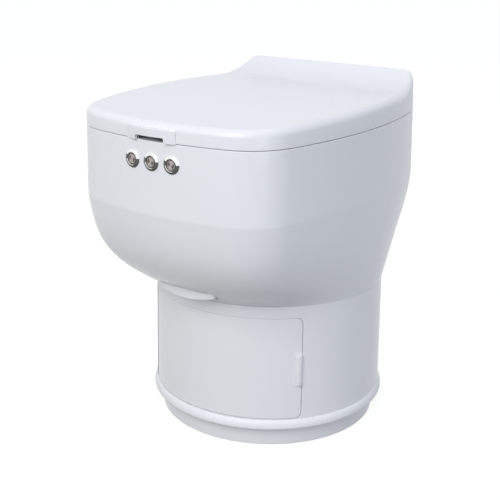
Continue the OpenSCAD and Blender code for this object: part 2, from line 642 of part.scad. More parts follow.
// Slab that cuts the door out of the pedestal, grown by g and by more at its square, hinged side
module door_slab(g, more) rotate([0, 0, door_mid]) translate([0, -60, 0])
    rotate([90, 0, 0]) linear_extrude(140) {
    rounded(-door_half_w - g, door_low - g, 2 * (door_half_w + g), door_high - door_low + 2 * g,
        door_corner + g);
    translate([-door_half_w - more, door_low - g]) square([door_half_w + more, door_high - door_low + 2 * g]);
}
module rounded(x, y, w, h, r) {
    translate([x + r, y]) square([w - 2 * r, h]);
    translate([x, y + r]) square([w, h - 2 * r]);
    for (cx = [x + r, x + w - r], cy = [y + r, y + h - r]) translate([cx, cy]) circle(r = r);
}
module drum_skin(low, high, wall) rotate_extrude($fn = 128) polygon([[drum_r(low), low], [drum_r(high), high],
    [drum_r(high) - wall, high], [drum_r(low) - wall, low]]);
module axis_post(z0, z1, r) translate([door_axis[0], door_axis[1], z0]) cylinder(h = z1 - z0, r = r);
module pedestal() color(white) difference() {
    union() {
        difference() {
            drum_skin(flange_top, drum_top, drum_wall);
            door_slab(door_seam, hinge_seam);
        }
        translate([0, 0, drum_top - plate_t]) cylinder(h = plate_t, r = drum_r_high - drum_wall + 1, $fn = 128);
        intersection() {
            axis_post(door_high + door_seam, drum_top - 1, 5);
            cylinder(h = drum_top, r = drum_r_high - 1);
        }
    }
    translate([-gate_half_w, gate_front, drum_top - plate_t - 1])
        cube([2 * gate_half_w, gate_rear - gate_front, plate_t + 2]);
    axis_post(door_high - 1, drum_top - 3, door_pin_r);
    axis_post(flange_top - 1, door_low, door_pin_r);
}
knuckle_h = 24;
knuckle_in = 2;
module door() color(white) difference() {
    union() {
        intersection() {
            drum_skin(door_low - 1, door_high + 1, drum_wall);
            door_slab(0, 0);
        }
        axis_post(door_low + knuckle_in, door_low + knuckle_h, door_knuckle_r);
        axis_post(door_high - knuckle_h, door_high - knuckle_in, door_knuckle_r);
    }
    axis_post(door_low - 1, door_low + knuckle_h + 1, door_pin_r + shaft_clear);
    axis_post(door_high - knuckle_h - 1, door_high + 1, door_pin_r + shaft_clear);
}
module door_hinge_pins() color(steel) {
    axis_post(flange_top - 3, door_low + knuckle_h - 4, door_pin_r);
    axis_post(door_high - knuckle_h + 4, drum_top - 3, door_pin_r);
}
pull_a = door_right - 2.6;
pull_z = 116;
pull_r = 5.2;
module door_pull() color(white) difference() {
    rotate([0, 0, pull_a]) translate([0, -drum_r(pull_z) - pull_out + pull_r, pull_z - pull_h / 2])
        cylinder(h = pull_h, r = pull_r);
    rotate_extrude($fn = 128) polygon([[0, 60], [drum_r(60), 60], [drum_r(180), 180], [0, 180]]);
}
catch_z = 150;
catch_h = 24;
catch_in = drum_r_high - drum_wall - 12;
// Room inside the pedestal's wall, less a gap
module inner_core(gap) rotate_extrude($fn = 128) polygon([[0, 60], [drum_r(60) - drum_wall - gap, 60],
    [drum_r(190) - drum_wall - gap, 190], [0, 190]]);
module magnet_catch() color(dark) rotate([0, 0, door_right]) translate([0, 0, catch_z]) {
    translate([-10, -catch_in, 0]) cube([20, 6, catch_h]);
    intersection() {
        translate([5, -catch_in - 30, 0]) cube([6, 31, catch_h]);
        translate([0, 0, -catch_z]) rotate([0, 0, -door_right]) inner_core(0);
    }
}
module striker_plate() color(steel) intersection() {
    rotate([0, 0, door_right]) translate([-11, -catch_in - 30, catch_z + 4])
        cube([8, 30 - rest_gap, catch_h - 8]);
    inner_core(rest_gap);
}
pan_t = 3;
screw_circle_r = 148;
module four(r, turn) for (a = [0:90:270]) rotate([0, 0, a + turn]) translate([r, 0, 0]) children();
module flange_ring() color(white) difference() {
    union() {
        translate([0, 0, flange_top - pan_t]) cylinder(h = pan_t, r = drum_r_low - 1, $fn = 128);
        rotate_extrude($fn = 128) difference() {
            union() {
                translate([plinth_r - 14, plinth_h]) square([flange_r - plinth_r + 10, flange_h]);
                translate([flange_r - 4, plinth_h + 4]) square([4, flange_h - 10]);
                translate([flange_r - 6, flange_top - 6]) circle(r = 6);
                translate([flange_r - 4, plinth_h + 4]) circle(r = 4);
            }
            translate([plinth_r - 12, plinth_h + 3]) square([10, flange_h - pan_t - 3]);
        }
    }
    four(screw_circle_r, 0) translate([0, 0, plinth_h - 1]) cylinder(h = flange_h + 2, r = screw_r);
    axis_post(flange_top - pan_t - 1, flange_top + 1, door_pin_r);
}
foot_t = 6;
module plinth() color(white) difference() {
    union() {
        rotate_extrude($fn = 128) {
            translate([plinth_r - plinth_wall, 0]) square([plinth_wall, plinth_h]);
            translate([bolt_circle_r - 12, 0]) square([plinth_r - bolt_circle_r + 10, foot_t]);
        }
        four(screw_circle_r, 0) cylinder(h = plinth_h, r = 6);
    }
    four(bolt_circle_r, 45) translate([0, 0, -1]) cylinder(h = foot_t + 2, r = bolt_hole_r);
    four(screw_circle_r, 0) translate([0, 0, plinth_h - 15]) cylinder(h = 16, r = screw_r);
}
module base_screws() color(steel) four(screw_circle_r, 0) {
    translate([0, 0, plinth_h - 15]) cylinder(h = flange_h + 15, r = screw_r);
    translate([0, 0, flange_top]) cylinder(h = 2, r = screw_head_r);
}
bin_h = 140;
module waste_bin() color("gray") translate([0, 0, flange_top]) rotate_extrude($fn = 96)
    polygon([[0, 0], [bin_r - 14, 0], [bin_r - 3, bin_h - 4], [bin_r, bin_h - 4], [bin_r, bin_h],
        [bin_r - 5.5, bin_h], [bin_r - 16.5, 2.5], [0, 2.5]]);

board_post = 6;
board_t = 2;
board_l = 100;
board_h = 46;
board_edge = 10;
board_x = frame_x + frame_side + board_post;
// Corner of the board that its posts and parts are measured from
board_y0 = drop_y - board_l / 2 - board_edge;
board_z0 = frame_low - 6;
module control_board() color("seagreen") {
    translate([-board_x - board_t, board_y0, board_z0]) cube([board_t, board_l, board_h]);
    for (y = [board_edge, board_l - board_edge], z = [board_edge + 2, board_h - board_edge])
        translate([-board_x, board_y0 + y, board_z0 + z]) x_bar(0, board_post, 3, 0, 0);
    translate([-board_x - 9, board_y0 + 2 * board_edge, board_z0 + board_edge]) cube([7, 26, 18]);
    translate([-board_x - 7, drop_y, board_z0 + board_edge]) cube([5, 18, 12]);
}
battery_w = 96;
battery_d = 52;
battery_h = 58;
module battery() color(dark) translate([-battery_w / 2, gate_rear + 40, drum_top]) {
    cube([battery_w, battery_d, battery_h]);
    translate([battery_w / 2 - 28, 14, battery_h - 1]) cube([10, 10, 6]);
    translate([battery_w / 2 + 18, 14, battery_h - 1]) cube([10, 10, 6]);
}
grille_drop = 50;
grille_z = body_top - grille_drop;
grille_r = 31;
wall_in = rear_y - shell_wall;
module fan_housing() color(dark) translate([0, 0, grille_z]) rotate([-90, 0, 0]) difference() {
    translate([0, 0, wall_in - 32]) cylinder(h = 32, r = fan_r + 5);
    translate([0, 0, wall_in - 33]) cylinder(h = 29, r = fan_r + 2);
    for (a = [0:60:300]) rotate([0, 0, a]) translate([fan_r * 0.58, 0, wall_in - 10]) cylinder(h = 20, r = 6);
    translate([0, 0, wall_in - 10]) cylinder(h = 20, r = 2 + shaft_clear);
}
module fan_rotor() color("black") translate([0, 0, grille_z]) rotate([-90, 0, 0]) {
    translate([0, 0, wall_in - 17]) cylinder(h = 16, r = 2);
    translate([0, 0, wall_in - 17]) cylinder(h = 11, r = 9);
    for (a = [0:45:315]) rotate([0, 0, a]) translate([8, -1, wall_in - 16]) cube([fan_r - 8, 2, 9]);
}
module carbon_filter() color("darkslategray") translate([0, 0, grille_z]) rotate([-90, 0, 0])
    translate([0, 0, wall_in - 31]) cylinder(h = 12, r = fan_r + 2 - rest_gap);
inlet_x = 92;
inlet_drop = 58;
inlet_z = body_top - inlet_drop;
inlet_r = 8;
grille_t = 3;
// Rear face of the body at a height
function rear_face(z) = rear_y + crease_out * (body_top - z) / (body_top - crease_z);
module rear_grille() color("gainsboro")
    translate([0, rear_face(grille_z - grille_r), grille_z]) rotate([-90, 0, 0]) difference() {
    cylinder(h = grille_t, r = grille_r);
    for (i = [-4:4]) translate([-sqrt(pow(grille_r - 5, 2) - 36 * i * i) , 6 * i - 1.6, -1])
        cube([2 * sqrt(pow(grille_r - 5, 2) - 36 * i * i), 3.2, grille_t + 2]);
}
module power_inlet() color(dark) translate([inlet_x, 0, inlet_z]) rotate([-90, 0, 0]) difference() {
    union() {
        translate([0, 0, wall_in - 10]) cylinder(h = 15, r = inlet_r);
        translate([0, 0, rear_face(inlet_z - inlet_r - 3)]) cylinder(h = 2.5, r = inlet_r + 3);
    }
    translate([0, 0, wall_in - 6]) cylinder(h = 20, r = 3.2);
}

lid();
lid_bumpers();
seat();
seat_feet();
hinge_shaft();
hinge_brackets();
deck();
deck_screws();
body_shell();
bowl();
film_cartridge();
seal_frame();
guide_rods();
jaw_front();
jaw_rear();
heater_bar();
jaw_pad();
jaw_pinion();
jaw_motor();
feed_roller_front();
feed_roller_rear();
feed_motor();
shutter_frame();
shutter();
switch_left();
switch_middle();
switch_right();
button_left();
button_middle();
button_right();
switch_nuts();
pedestal();
door();
door_pull();
door_hinge_pins();
magnet_catch();
striker_plate();
flange_ring();
plinth();
base_screws();
waste_bin();
control_board();
battery();
fan_housing();
fan_rotor();
carbon_filter();
rear_grille();
power_inlet();
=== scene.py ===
# %% [markdown]
# # A waterless toilet in glossy white plastic
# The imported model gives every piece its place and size. This script dresses it: smooth
# moulded shells stand in for the faceted ones, and each finish is built from nodes.
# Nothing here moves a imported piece, so all sizes come from the frame or repeat its own.

# %% Load the frame
import json
import math

import bmesh
import bpy
from mathutils import Matrix, Vector


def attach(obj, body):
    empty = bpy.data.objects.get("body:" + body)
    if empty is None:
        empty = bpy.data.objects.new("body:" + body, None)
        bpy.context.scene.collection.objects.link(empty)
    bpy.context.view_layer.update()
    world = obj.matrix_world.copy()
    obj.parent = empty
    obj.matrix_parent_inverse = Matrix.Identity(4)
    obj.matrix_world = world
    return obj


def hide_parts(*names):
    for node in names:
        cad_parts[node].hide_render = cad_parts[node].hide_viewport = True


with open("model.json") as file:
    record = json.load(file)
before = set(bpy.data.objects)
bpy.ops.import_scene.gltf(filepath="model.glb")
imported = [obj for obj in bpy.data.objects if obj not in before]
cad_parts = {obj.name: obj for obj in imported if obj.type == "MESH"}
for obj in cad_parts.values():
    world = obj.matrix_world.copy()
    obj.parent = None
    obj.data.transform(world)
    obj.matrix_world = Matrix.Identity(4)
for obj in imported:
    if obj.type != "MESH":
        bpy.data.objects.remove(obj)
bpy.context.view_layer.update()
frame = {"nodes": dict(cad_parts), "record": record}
bpy.context.scene.view_settings.view_transform = "Standard"

# %% [markdown]
# ## Camera first
# A picture is easiest to match when its camera is settled before any modelling. The lens
# is 70.6 mm on a 36 mm wide sensor. The camera stands at the front right of the toilet,
# a little above it, and is rolled by about half a degree, as a hand-held one is.

# %% Camera
CAMERA_AT = Vector((0.7828, -1.1548, 0.6907))
CAMERA_LOOKS = Vector((-0.54988, 0.77573, -0.30953))
CAMERA_ROLL = 0.0103
LENS_MM = 70.61

camera = bpy.data.objects.new("camera", bpy.data.cameras.new("camera"))
bpy.context.collection.objects.link(camera)
bpy.context.scene.camera = camera
camera.data.lens = LENS_MM
camera.data.sensor_width = 36.0
camera.data.clip_end = 50.0
turn = CAMERA_LOOKS.to_track_quat("-Z", "Y").to_matrix() @ Matrix.Rotation(CAMERA_ROLL, 3, "Z")
camera.matrix_world = Matrix.Translation(CAMERA_AT) @ turn.to_4x4()
print("camera at", tuple(CAMERA_AT), "lens", LENS_MM)

# %% [markdown]
# ## Numbers that describe the body
# The body's plan is a rounded D made of four circles that touch each other: a flat front
# arc, a tight front corner, a long side arc and a small rear corner. The same four
# circles, drawn smaller, give every inner wall, so one function serves the whole body.

# %% Sizes of the body, in metres
MM = 0.001
FRONT_Y, HALF_W, WIDEST_Y = -262 * MM, 179 * MM, -41.3 * MM
FRONT_ARC, SIDE_ARC, CORNER, REAR_CORNER = 470 * MM, 639 * MM, 77 * MM, 17 * MM
REAR_Y = 154 * MM
BODY_TOP, CREASE_Z, DRUM_TOP = 445 * MM, 351 * MM, 211 * MM
CREASE_OUT, SHELL_WALL, BELLY_R = 2 * MM, 3.5 * MM, 168.3 * MM

front_c = Vector((0, FRONT_Y + FRONT_ARC))
side_c = Vector((HALF_W - SIDE_ARC, WIDEST_Y))


def touching_centre():
    """Centre of the front corner's circle, which touches the front arc and the side arc."""
    span = side_c - front_c
    near, far = FRONT_ARC - CORNER, SIDE_ARC - CORNER
    along = (near ** 2 - far ** 2 + span.length_squared) / (2 * span.length)
    across = math.sqrt(near ** 2 - along ** 2)
    unit = span.normalized()
    both = [front_c + unit * along + Vector((unit.y, -unit.x)) * s * across for s in (1, -1)]
    return min((c for c in both if c.x > 0), key=lambda c: c.y)


corner_c = touching_centre()
rear_c = Vector((side_c.x + math.sqrt((SIDE_ARC - REAR_CORNER) ** 2
                                      - (REAR_Y - REAR_CORNER - WIDEST_Y) ** 2), REAR_Y - REAR_CORNER))


def heading(a, b):
    return math.atan2(b.y - a.y, b.x - a.x)


A_FRONT = heading(front_c, corner_c)
A_SIDE, A_REAR = heading(side_c, corner_c), heading(side_c, rear_c)
STEPS = {"front": 18, "corner": 20, "side": 30, "rear": 12, "back": 16}


def arc(centre, radius, start, end, steps):
    """Points after the first one, along an arc."""
    angles = [start + (end - start) * i / steps for i in range(1, steps + 1)]
    return [Vector((centre.x + radius * math.cos(a), centre.y + radius * math.sin(a))) for a in angles]


def outline(off):
    """The whole D, moved inwards by off. Every off gives the same number of points."""
    half = [Vector((0, FRONT_Y + off))]
    half += arc(front_c, FRONT_ARC - off, -math.pi / 2, A_FRONT, STEPS["front"])
    half += arc(corner_c, CORNER - off, A_FRONT, A_SIDE, STEPS["corner"])
    half += arc(side_c, SIDE_ARC - off, A_SIDE, A_REAR, STEPS["side"])
    half += arc(rear_c, REAR_CORNER - off, A_REAR, math.pi / 2, STEPS["rear"])
    steps = STEPS["back"]
    half += [Vector((rear_c.x * (1 - i / steps), REAR_Y - off)) for i in range(1, steps + 1)]
    return half + [Vector((-p.x, p.y)) for p in half[-2:0:-1]]


print("outline:", len(outline(0)), "points, corner circle at", tuple(round(v, 4) for v in corner_c))

# %% [markdown]
# ## A loft from one ring of edges
# Every moulded shell here can be told as a stack of rings. The first ring is made from
# vertices, and each next one is the extrude operator followed by moving the new vertices
# to where a formula puts them. The faces come from the operator, never from a list.

# %% Loft helper
def verts_of(geom):
    return [v for v in geom if isinstance(v, bmesh.types.BMVert)]


def finish_mesh(bm, name, smooth_angle=35):
    """Turns a bmesh into a linked object with outward normals and smooth shading."""
    bmesh.ops.remove_doubles(bm, verts=bm.verts, dist=1e-6)
    bmesh.ops.recalc_face_normals(bm, faces=bm.faces)
    limit = math.radians(smooth_angle)
    for face in bm.faces:
        face.smooth = True
    for edge in bm.edges:
        if len(edge.link_faces) == 2:
            edge.smooth = edge.calc_face_angle(0) < limit
    mesh = bpy.data.meshes.new(name)
    bm.to_mesh(mesh)
    bm.free()
    piece = bpy.data.objects.new(name, mesh)
    bpy.context.collection.objects.link(piece)
    return piece


def extrude_ring(bm, ring):
    """Extrudes a closed ring of vertices and returns the new ring in the same order."""
    edges = [bm.edges.get((ring[i - 1], ring[i])) for i in range(len(ring))]
    made = bmesh.ops.extrude_edge_only(bm, edges=edges)["geom"]
    fresh = {v.co.to_tuple(6): v for v in verts_of(made)}
    return [fresh[v.co.to_tuple(6)] for v in ring]


def loft(bm, rings, close_start=False, close_end=False, join_ends=False):
    """Skins a list of rings of points by extruding each one from the last."""
    first = [bm.verts.new(p) for p in rings[0]]
    for i in range(len(first)):
        bm.edges.new((first[i - 1], first[i]))
    current = first
    for points in rings[1:]:
        current = extrude_ring(bm, current)
        for vert, point in zip(current, points):
            vert.co = point
    for ring, wanted in ((first, close_start), (current, close_end)):
        if wanted:
            bmesh.ops.poke(bm, faces=[bm.faces.new(ring)])
    if join_ends:
        ends = [[bm.edges.get((r[i - 1], r[i])) for i in range(len(r))] for r in (first, current)]
        bmesh.ops.bridge_loops(bm, edges=ends[0] + ends[1])
    return bm


def lifted(points, z):
    return [Vector((p.x, p.y, z)) for p in points]


def thicken(bm, vec, faces=None):
    """Extrudes faces by a vector, which turns a flat plan into a solid."""
    grown = bmesh.ops.extrude_face_region(bm, geom=faces or bm.faces[:])["geom"]
    bmesh.ops.translate(bm, vec=vec, verts=verts_of(grown))


def soften(bm, edges, offset, segments=3, clamp=False):
    """Rounds edges, as every moulded edge is."""
    bmesh.ops.bevel(bm, geom=edges, offset=offset, segments=segments, profile=0.5,
                    affect="EDGES", material=-1, clamp_overlap=clamp)


print("loft helper ready")

# %% [markdown]
# ## The body shell
# The real shell is one moulding: an upright band, a soft crease, and a belly that turns
# from the D into the circle of the pedestal. Sculpting it would never meet the circle
# exactly. A loft can: each ring mixes the D with the circle, and the mix runs earlier at
# the rear, where the wall only leans out, than at the front and sides, where it bulges.

# %% Body shell
CREASE_SOFT, LIP_R = 0.8 * MM, 1.0 * MM
BULGE_FROM, BULGE_SPAN, BULGE_SLOPE, BULGE_POWER, BULGE_TURN = 0.74, 0.84, 0.21, 3.5, 1.2
LEAN_SLOPE, LEAN_POWER = 0.23, 1.86


def belly_mix(p, v):
    """How far a point of the D has turned into the circle, from 0 at the crease to 1."""
    u = min(1.0, max(0.0, (BULGE_FROM - p.y / p.length) / BULGE_SPAN))
    share = u * u * (3 - 2 * u)
    bulge = BULGE_SLOPE * v + (1 - BULGE_SLOPE) * (1 - (1 - v ** BULGE_POWER) ** BULGE_TURN)
    lean = LEAN_SLOPE * v + (1 - LEAN_SLOPE) * v ** LEAN_POWER
    return share * bulge + (1 - share) * lean


def body_ring(z, wall):
    """One ring of the shell: band above the crease, belly below it, softened between."""
    drop = CREASE_Z - z
    soft = (math.sqrt(drop * drop + CREASE_SOFT ** 2) + drop) / 2
    v = min(1.0, max(0.0, soft / (CREASE_Z - DRUM_TOP)))
    rise = 1 - min(1.0, max(0.0, (z - CREASE_Z) / (BODY_TOP - CREASE_Z)))
    ring = []
    for p in outline(-CREASE_OUT * rise):
        turned = belly_mix(p, v)
        q = p * (1 - turned) + p.normalized() * BELLY_R * turned
        q = q * (1 - wall / q.length)
        ring.append(Vector((q.x, q.y, z)))
    return ring


def spread(start, end, steps):
    return [start + (end - start) * i / steps for i in range(steps + 1)]


levels = spread(DRUM_TOP, CREASE_Z - 12 * MM, 30) + spread(CREASE_Z - 10 * MM, CREASE_Z + 20 * MM, 15)
levels += spread(CREASE_Z + 30 * MM, BODY_TOP - 2 * MM, 4)
outer = [body_ring(z, 0) for z in levels]
for a in spread(0, math.pi / 2, 4):
    lip = body_ring(BODY_TOP, LIP_R * (1 - math.cos(a)))
    outer.append(lifted(lip, BODY_TOP - LIP_R * (1 - math.sin(a))))
inner = [body_ring(z, SHELL_WALL) for z in [BODY_TOP] + levels[::-1]]
body = bmesh.new()
loft(body, outer + inner, join_ends=True)
body_shell = finish_mesh(body, "body_casing", 50)
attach(body_shell, "body")
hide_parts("body_shell")
print("body casing:", len(body_shell.data.polygons), "faces")

# %% [markdown]
# Holes in a finished shell are cut with a Boolean, which is the same step as cutting them
# with a tool. The cutter is thrown away once the result is read back from the modifier.
# The new edges are marked sharp, or shading would blend a wall into its hole.

# %% Cutting helpers
def baked(piece):
    """Writes a piece's modifiers into its mesh, so that none is left live."""
    graph = bpy.context.evaluated_depsgraph_get()
    mesh = bpy.data.meshes.new_from_object(piece.evaluated_get(graph))
    piece.modifiers.clear()
    piece.data = mesh
    return piece


def weighted(piece):
    """Lets the large faces set the shading, so that a bevel beside a long face stays flat."""
    tool = piece.modifiers.new("normals", "WEIGHTED_NORMAL")
    tool.mode = "FACE_AREA"
    tool.keep_sharp = True
    return baked(piece)


def carve(piece, *cutters):
    """Cuts pieces away and marks the new edges as sharp, so that shading stops at them."""
    for cutter in cutters:
        tool = piece.modifiers.new("cut", "BOOLEAN")
        tool.operation = "DIFFERENCE"
        tool.solver = "EXACT"
        tool.object = cutter
    baked(piece)
    for cutter in cutters:
        bpy.data.objects.remove(cutter)
    bm = bmesh.new()
    bm.from_mesh(piece.data)
    for edge in bm.edges:
        edge.smooth = edge.smooth and edge.calc_face_angle(0) < math.radians(40)
    bm.to_mesh(piece.data)
    bm.free()
    return piece


def block(name, low, high):
    """A box between two corners, used as a cutter or as a plain start of a part."""
    bm = bmesh.new()
    bmesh.ops.create_cube(bm, size=1.0)
    size = Vector(high) - Vector(low)
    bmesh.ops.scale(bm, vec=size, verts=bm.verts)
    bmesh.ops.translate(bm, vec=(Vector(low) + Vector(high)) / 2, verts=bm.verts)
    return finish_mesh(bm, name)


def rod(name, radius, low, high, axis="Z", segments=64):
    """A cylinder whose axis runs between two points along X, Y or Z."""
    bm = bmesh.new()
    length = (Vector(high) - Vector(low)).length
    bmesh.ops.create_cone(bm, cap_ends=True, segments=segments, radius1=radius,
                          radius2=radius, depth=length)
    turn = {"Z": Matrix(), "Y": Matrix.Rotation(math.pi / 2, 4, "X"),
            "X": Matrix.Rotation(math.pi / 2, 4, "Y")}
    bmesh.ops.transform(bm, matrix=turn[axis], verts=bm.verts)
    bmesh.ops.translate(bm, vec=(Vector(low) + Vector(high)) / 2, verts=bm.verts)
    return finish_mesh(bm, name)


print("cutting helpers ready")

# %% [markdown]
# Under the front of the belly a light tongue looks out, which is the handle of the
# shutter. It sits in a hole of its own outline, with the slot of the shutter's blade
# behind it. So one function draws the tongue as it is seen from the front, and makes the
# hole here, a little larger, and the handle itself further down.

# %% Holes in the body
HANDLE_HALF, HANDLE_LOW, HANDLE_HIGH = 46.5 * MM, 222.2 * MM, 237 * MM
HANDLE_R, HANDLE_D, HANDLE_END, HANDLE_CORNER = 203 * MM, 32 * MM, 228.5 * MM, 5 * MM
SHUTTER_Z, SHUTTER_T, BLADE_HALF, BLADE_R = 224 * MM, 3 * MM, 45.5 * MM, 187 * MM
PASS_GAP, CUT_FRONT, CUT_BACK = 0.4 * MM, -213 * MM, -153 * MM
GRILLE_Z, INLET_X, INLET_Z = 395 * MM, 92 * MM, 387 * MM
FAN_HOLE_R, INLET_R, CUT_REACH = 26 * MM, 8 * MM, 20 * MM


def tongue(name, grow, front, back, bevel=0.0):
    """A strip seen from the front, flat on top and curved below, bent round the drum."""
    bm = bmesh.new()
    half, corner, chains = HANDLE_HALF + grow, HANDLE_CORNER + grow, []
    for top in (False, True):
        verts = []
        for u in spread(-1, 1, 48):
            x = half * math.sin(math.pi / 2 * u)
            round_off = math.sqrt(corner ** 2 - max(0, abs(x) - half + corner) ** 2)
            high = HANDLE_HIGH + grow - corner + round_off
            low = HANDLE_LOW - grow + (HANDLE_END - HANDLE_LOW) * (x / half) ** 2
            verts.append(bm.verts.new((x, front, high if top else low)))
        chains += [bm.edges.new(pair) for pair in zip(verts, verts[1:])]
    bmesh.ops.bridge_loops(bm, edges=chains)
    thicken(bm, (0, back - front, 0))
    bmesh.ops.recalc_face_normals(bm, faces=bm.faces)
    if bevel:
        soften(bm, [e for e in bm.edges if e.calc_face_angle(0) > math.radians(50)], bevel, 4)
    for vert in bm.verts:
        vert.co.y += HANDLE_R - math.sqrt(HANDLE_R ** 2 - vert.co.x ** 2)
    return finish_mesh(bm, name, 40)


def rear_hole(name, radius, x, z):
    return rod(name, radius, (x, REAR_Y - CUT_REACH, z), (x, REAR_Y + CUT_REACH, z), "Y")


handle_hole = tongue("handle_hole", PASS_GAP, CUT_FRONT, CUT_BACK)
blade_slot = block("blade_slot", (-BLADE_HALF - PASS_GAP, CUT_FRONT, SHUTTER_Z - PASS_GAP),
                   (BLADE_HALF + PASS_GAP, CUT_BACK, SHUTTER_Z + SHUTTER_T + PASS_GAP))
fan_hole = rear_hole("fan_hole", FAN_HOLE_R, 0, GRILLE_Z)
inlet_hole = rear_hole("inlet_hole", INLET_R, INLET_X, INLET_Z)
carve(body_shell, handle_hole, blade_slot, fan_hole, inlet_hole)
print("body casing cut:", len(body_shell.data.polygons), "faces")

# %% [markdown]
# ## The lid
# The lid is a thin moulded cap: an upright skirt, a rounded edge, a top that is almost
# flat, and a ramp that sweeps up to a straight rear edge. One height formula gives the
# top everywhere, and rings that shrink towards the middle follow it.

# %% Lid
LID_GAP, LID_WALL, LID_EDGE, REAR_EDGE = 1.0 * MM, 3 * MM, 10 * MM, 3.5 * MM
LID_FRONT_Z, LID_CLIMB, LID_RAMP = 469 * MM, 7 * MM, 26.4 * MM
RAMP_Y, LID_MID = 80 * MM, -60 * MM
LID_LOW = BODY_TOP + LID_GAP
RAMP_RUN = REAR_Y - RAMP_Y
LID_LEAN, LID_PEAK = 6.5 * MM, LID_FRONT_Z + LID_CLIMB + LID_RAMP
SLOT_HALF, SLOT_HIGH, SLOT_ROUND, SLOT_OUT, TAB_LOW = 23 * MM, 451.8 * MM, 2.5 * MM, 5.4 * MM, 444.8 * MM
HINGE_Y, HINGE_Z, KNUCKLE_R = REAR_Y - 8.6 * MM, 480 * MM, 7 * MM
NOTCH_X, NOTCH_W = (59 * MM, -91 * MM), 32 * MM


def lid_z(y):
    climb = 1 - ((RAMP_Y - min(y, RAMP_Y)) / (RAMP_Y - FRONT_Y)) ** 2
    return LID_FRONT_Z + LID_CLIMB * climb + LID_RAMP * (max(0, y - RAMP_Y) / RAMP_RUN) ** 2.5


def edge_at(y):
    """The edge's rounding: generous at the front and sides, crisp along the rear edge."""
    return LID_EDGE + (REAR_EDGE - LID_EDGE) * max(0, (y - REAR_Y + REAR_CORNER) / REAR_CORNER) ** 2


def lid_ring(off, turned, size, drop):
    """A ring on the rounding, turned 0 at the skirt and 90 degrees on the top."""
    ring = []
    for a, b in zip(outline(0), outline(LID_EDGE)):
        edge = edge_at(a.y)
        reach = off + (edge - off) * (1 - math.cos(turned))
        p = a + (b - a) * reach / LID_EDGE
        q = Vector((p.x * size, (p.y - LID_MID) * size + LID_MID))
        z = lid_z(q.y) - drop - (edge - off) * (1 - math.sin(turned))
        lean = LID_LEAN / HALF_W * ((z - LID_LOW) / (LID_PEAK - LID_LOW)) ** 2
        ring.append(Vector((q.x * (1 - lean), q.y, z)))
    return ring


SHRINKS = [1 - 0.012 * i for i in range(1, 30)] + [0.6, 0.5, 0.38, 0.25, 0.12]


def lid_skin(off, drop):
    rings = [lid_ring(off, a, 1, drop) for a in spread(0, math.pi / 2, 10)]
    return rings + [lid_ring(off, math.pi / 2, s, drop) for s in SHRINKS]


top_skin = [lifted(outline(0), LID_LOW)] + lid_skin(0, 0)
under_skin = [lifted(outline(LID_WALL), LID_LOW)] + lid_skin(LID_WALL, LID_WALL)
lid_mesh = bmesh.new()
loft(lid_mesh, under_skin[::-1] + top_skin, close_start=True, close_end=True)
lid = finish_mesh(lid_mesh, "lid_cap", 60)


def slot_cutter():
    """A bar with round upper corners that passes through the tab and the lid's skirt."""
    bm = bmesh.new()
    bmesh.ops.create_cube(bm, size=1.0)
    bmesh.ops.scale(bm, vec=(2 * SLOT_HALF, CUT_REACH, 2 * (SLOT_HIGH - TAB_LOW)), verts=bm.verts)
    bmesh.ops.translate(bm, vec=(0, FRONT_Y - SLOT_OUT, TAB_LOW), verts=bm.verts)
    soften(bm, [e for e in bm.edges if abs(e.verts[0].co.y - e.verts[1].co.y) > 10 * MM], SLOT_ROUND, 5)
    return finish_mesh(bm, "slot")


notches = [block("notch", (x, REAR_Y - LID_WALL - 2 * MM, LID_LOW - MM),
                 (x + NOTCH_W, REAR_Y + MM, HINGE_Z + KNUCKLE_R + 2 * MM)) for x in NOTCH_X]
carve(lid, *notches, slot_cutter())
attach(lid, "lid")
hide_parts("lid")
lid_peak = max(v.co.z for v in lid.data.vertices)
print("lid:", len(lid.data.polygons), "faces, top at", round(lid_peak, 4))

# %% [markdown]
# The lid turns on four knuckles that hang from its underside. Each is a short tube round
# the hinge shaft with a block that ties it to the lid, and they only show when it is open.

# %% Lid knuckles
def joined(name, pieces):
    """Puts several meshes in one object, which keeps a group of like parts together."""
    bm = bmesh.new()
    for piece in pieces:
        bm.from_mesh(piece.data)
        bpy.data.objects.remove(piece)
    mesh = bpy.data.meshes.new(name)
    bm.to_mesh(mesh)
    bm.free()
    whole = bpy.data.objects.new(name, mesh)
    bpy.context.collection.objects.link(whole)
    return whole


KNUCKLE_X, KNUCKLE_W = (46 * MM, 98 * MM, -54 * MM, -106 * MM), 8 * MM
knuckles = []
for x in KNUCKLE_X:
    start, end = (x, HINGE_Y, HINGE_Z), (x + KNUCKLE_W, HINGE_Y, HINGE_Z)
    knuckles.append(rod("knuckle", KNUCKLE_R, start, end, "X"))
    knuckles.append(block("web", (x, HINGE_Y - KNUCKLE_R, HINGE_Z),
                          (x + KNUCKLE_W, REAR_Y - 1.5 * MM, HINGE_Z + KNUCKLE_R)))
lid_knuckles = joined("lid_knuckles", knuckles)
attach(lid_knuckles, "lid")
print("lid knuckles:", len(lid_knuckles.data.polygons), "faces")

# %% [markdown]
# ## The finger tab
# A shallow D stands on the lid's front edge, with a dark slot along its foot for a
# fingertip. Seen from above it is a bow on the front arc. It is extruded from that bow and
# its edges are bevelled, because a moulded edge always catches a thin line of light.

# %% Finger tab
TAB_HALF, TAB_OUT, TAB_END, TAB_HIGH = 38 * MM, 8 * MM, 2 * MM, 461.8 * MM
TAB_BACK, TAB_SOFT = 1.5 * MM, 0.9 * MM


def front_wall(x):
    """Where the front arc is at a distance from the middle."""
    return FRONT_Y + FRONT_ARC - math.sqrt(FRONT_ARC ** 2 - x * x)


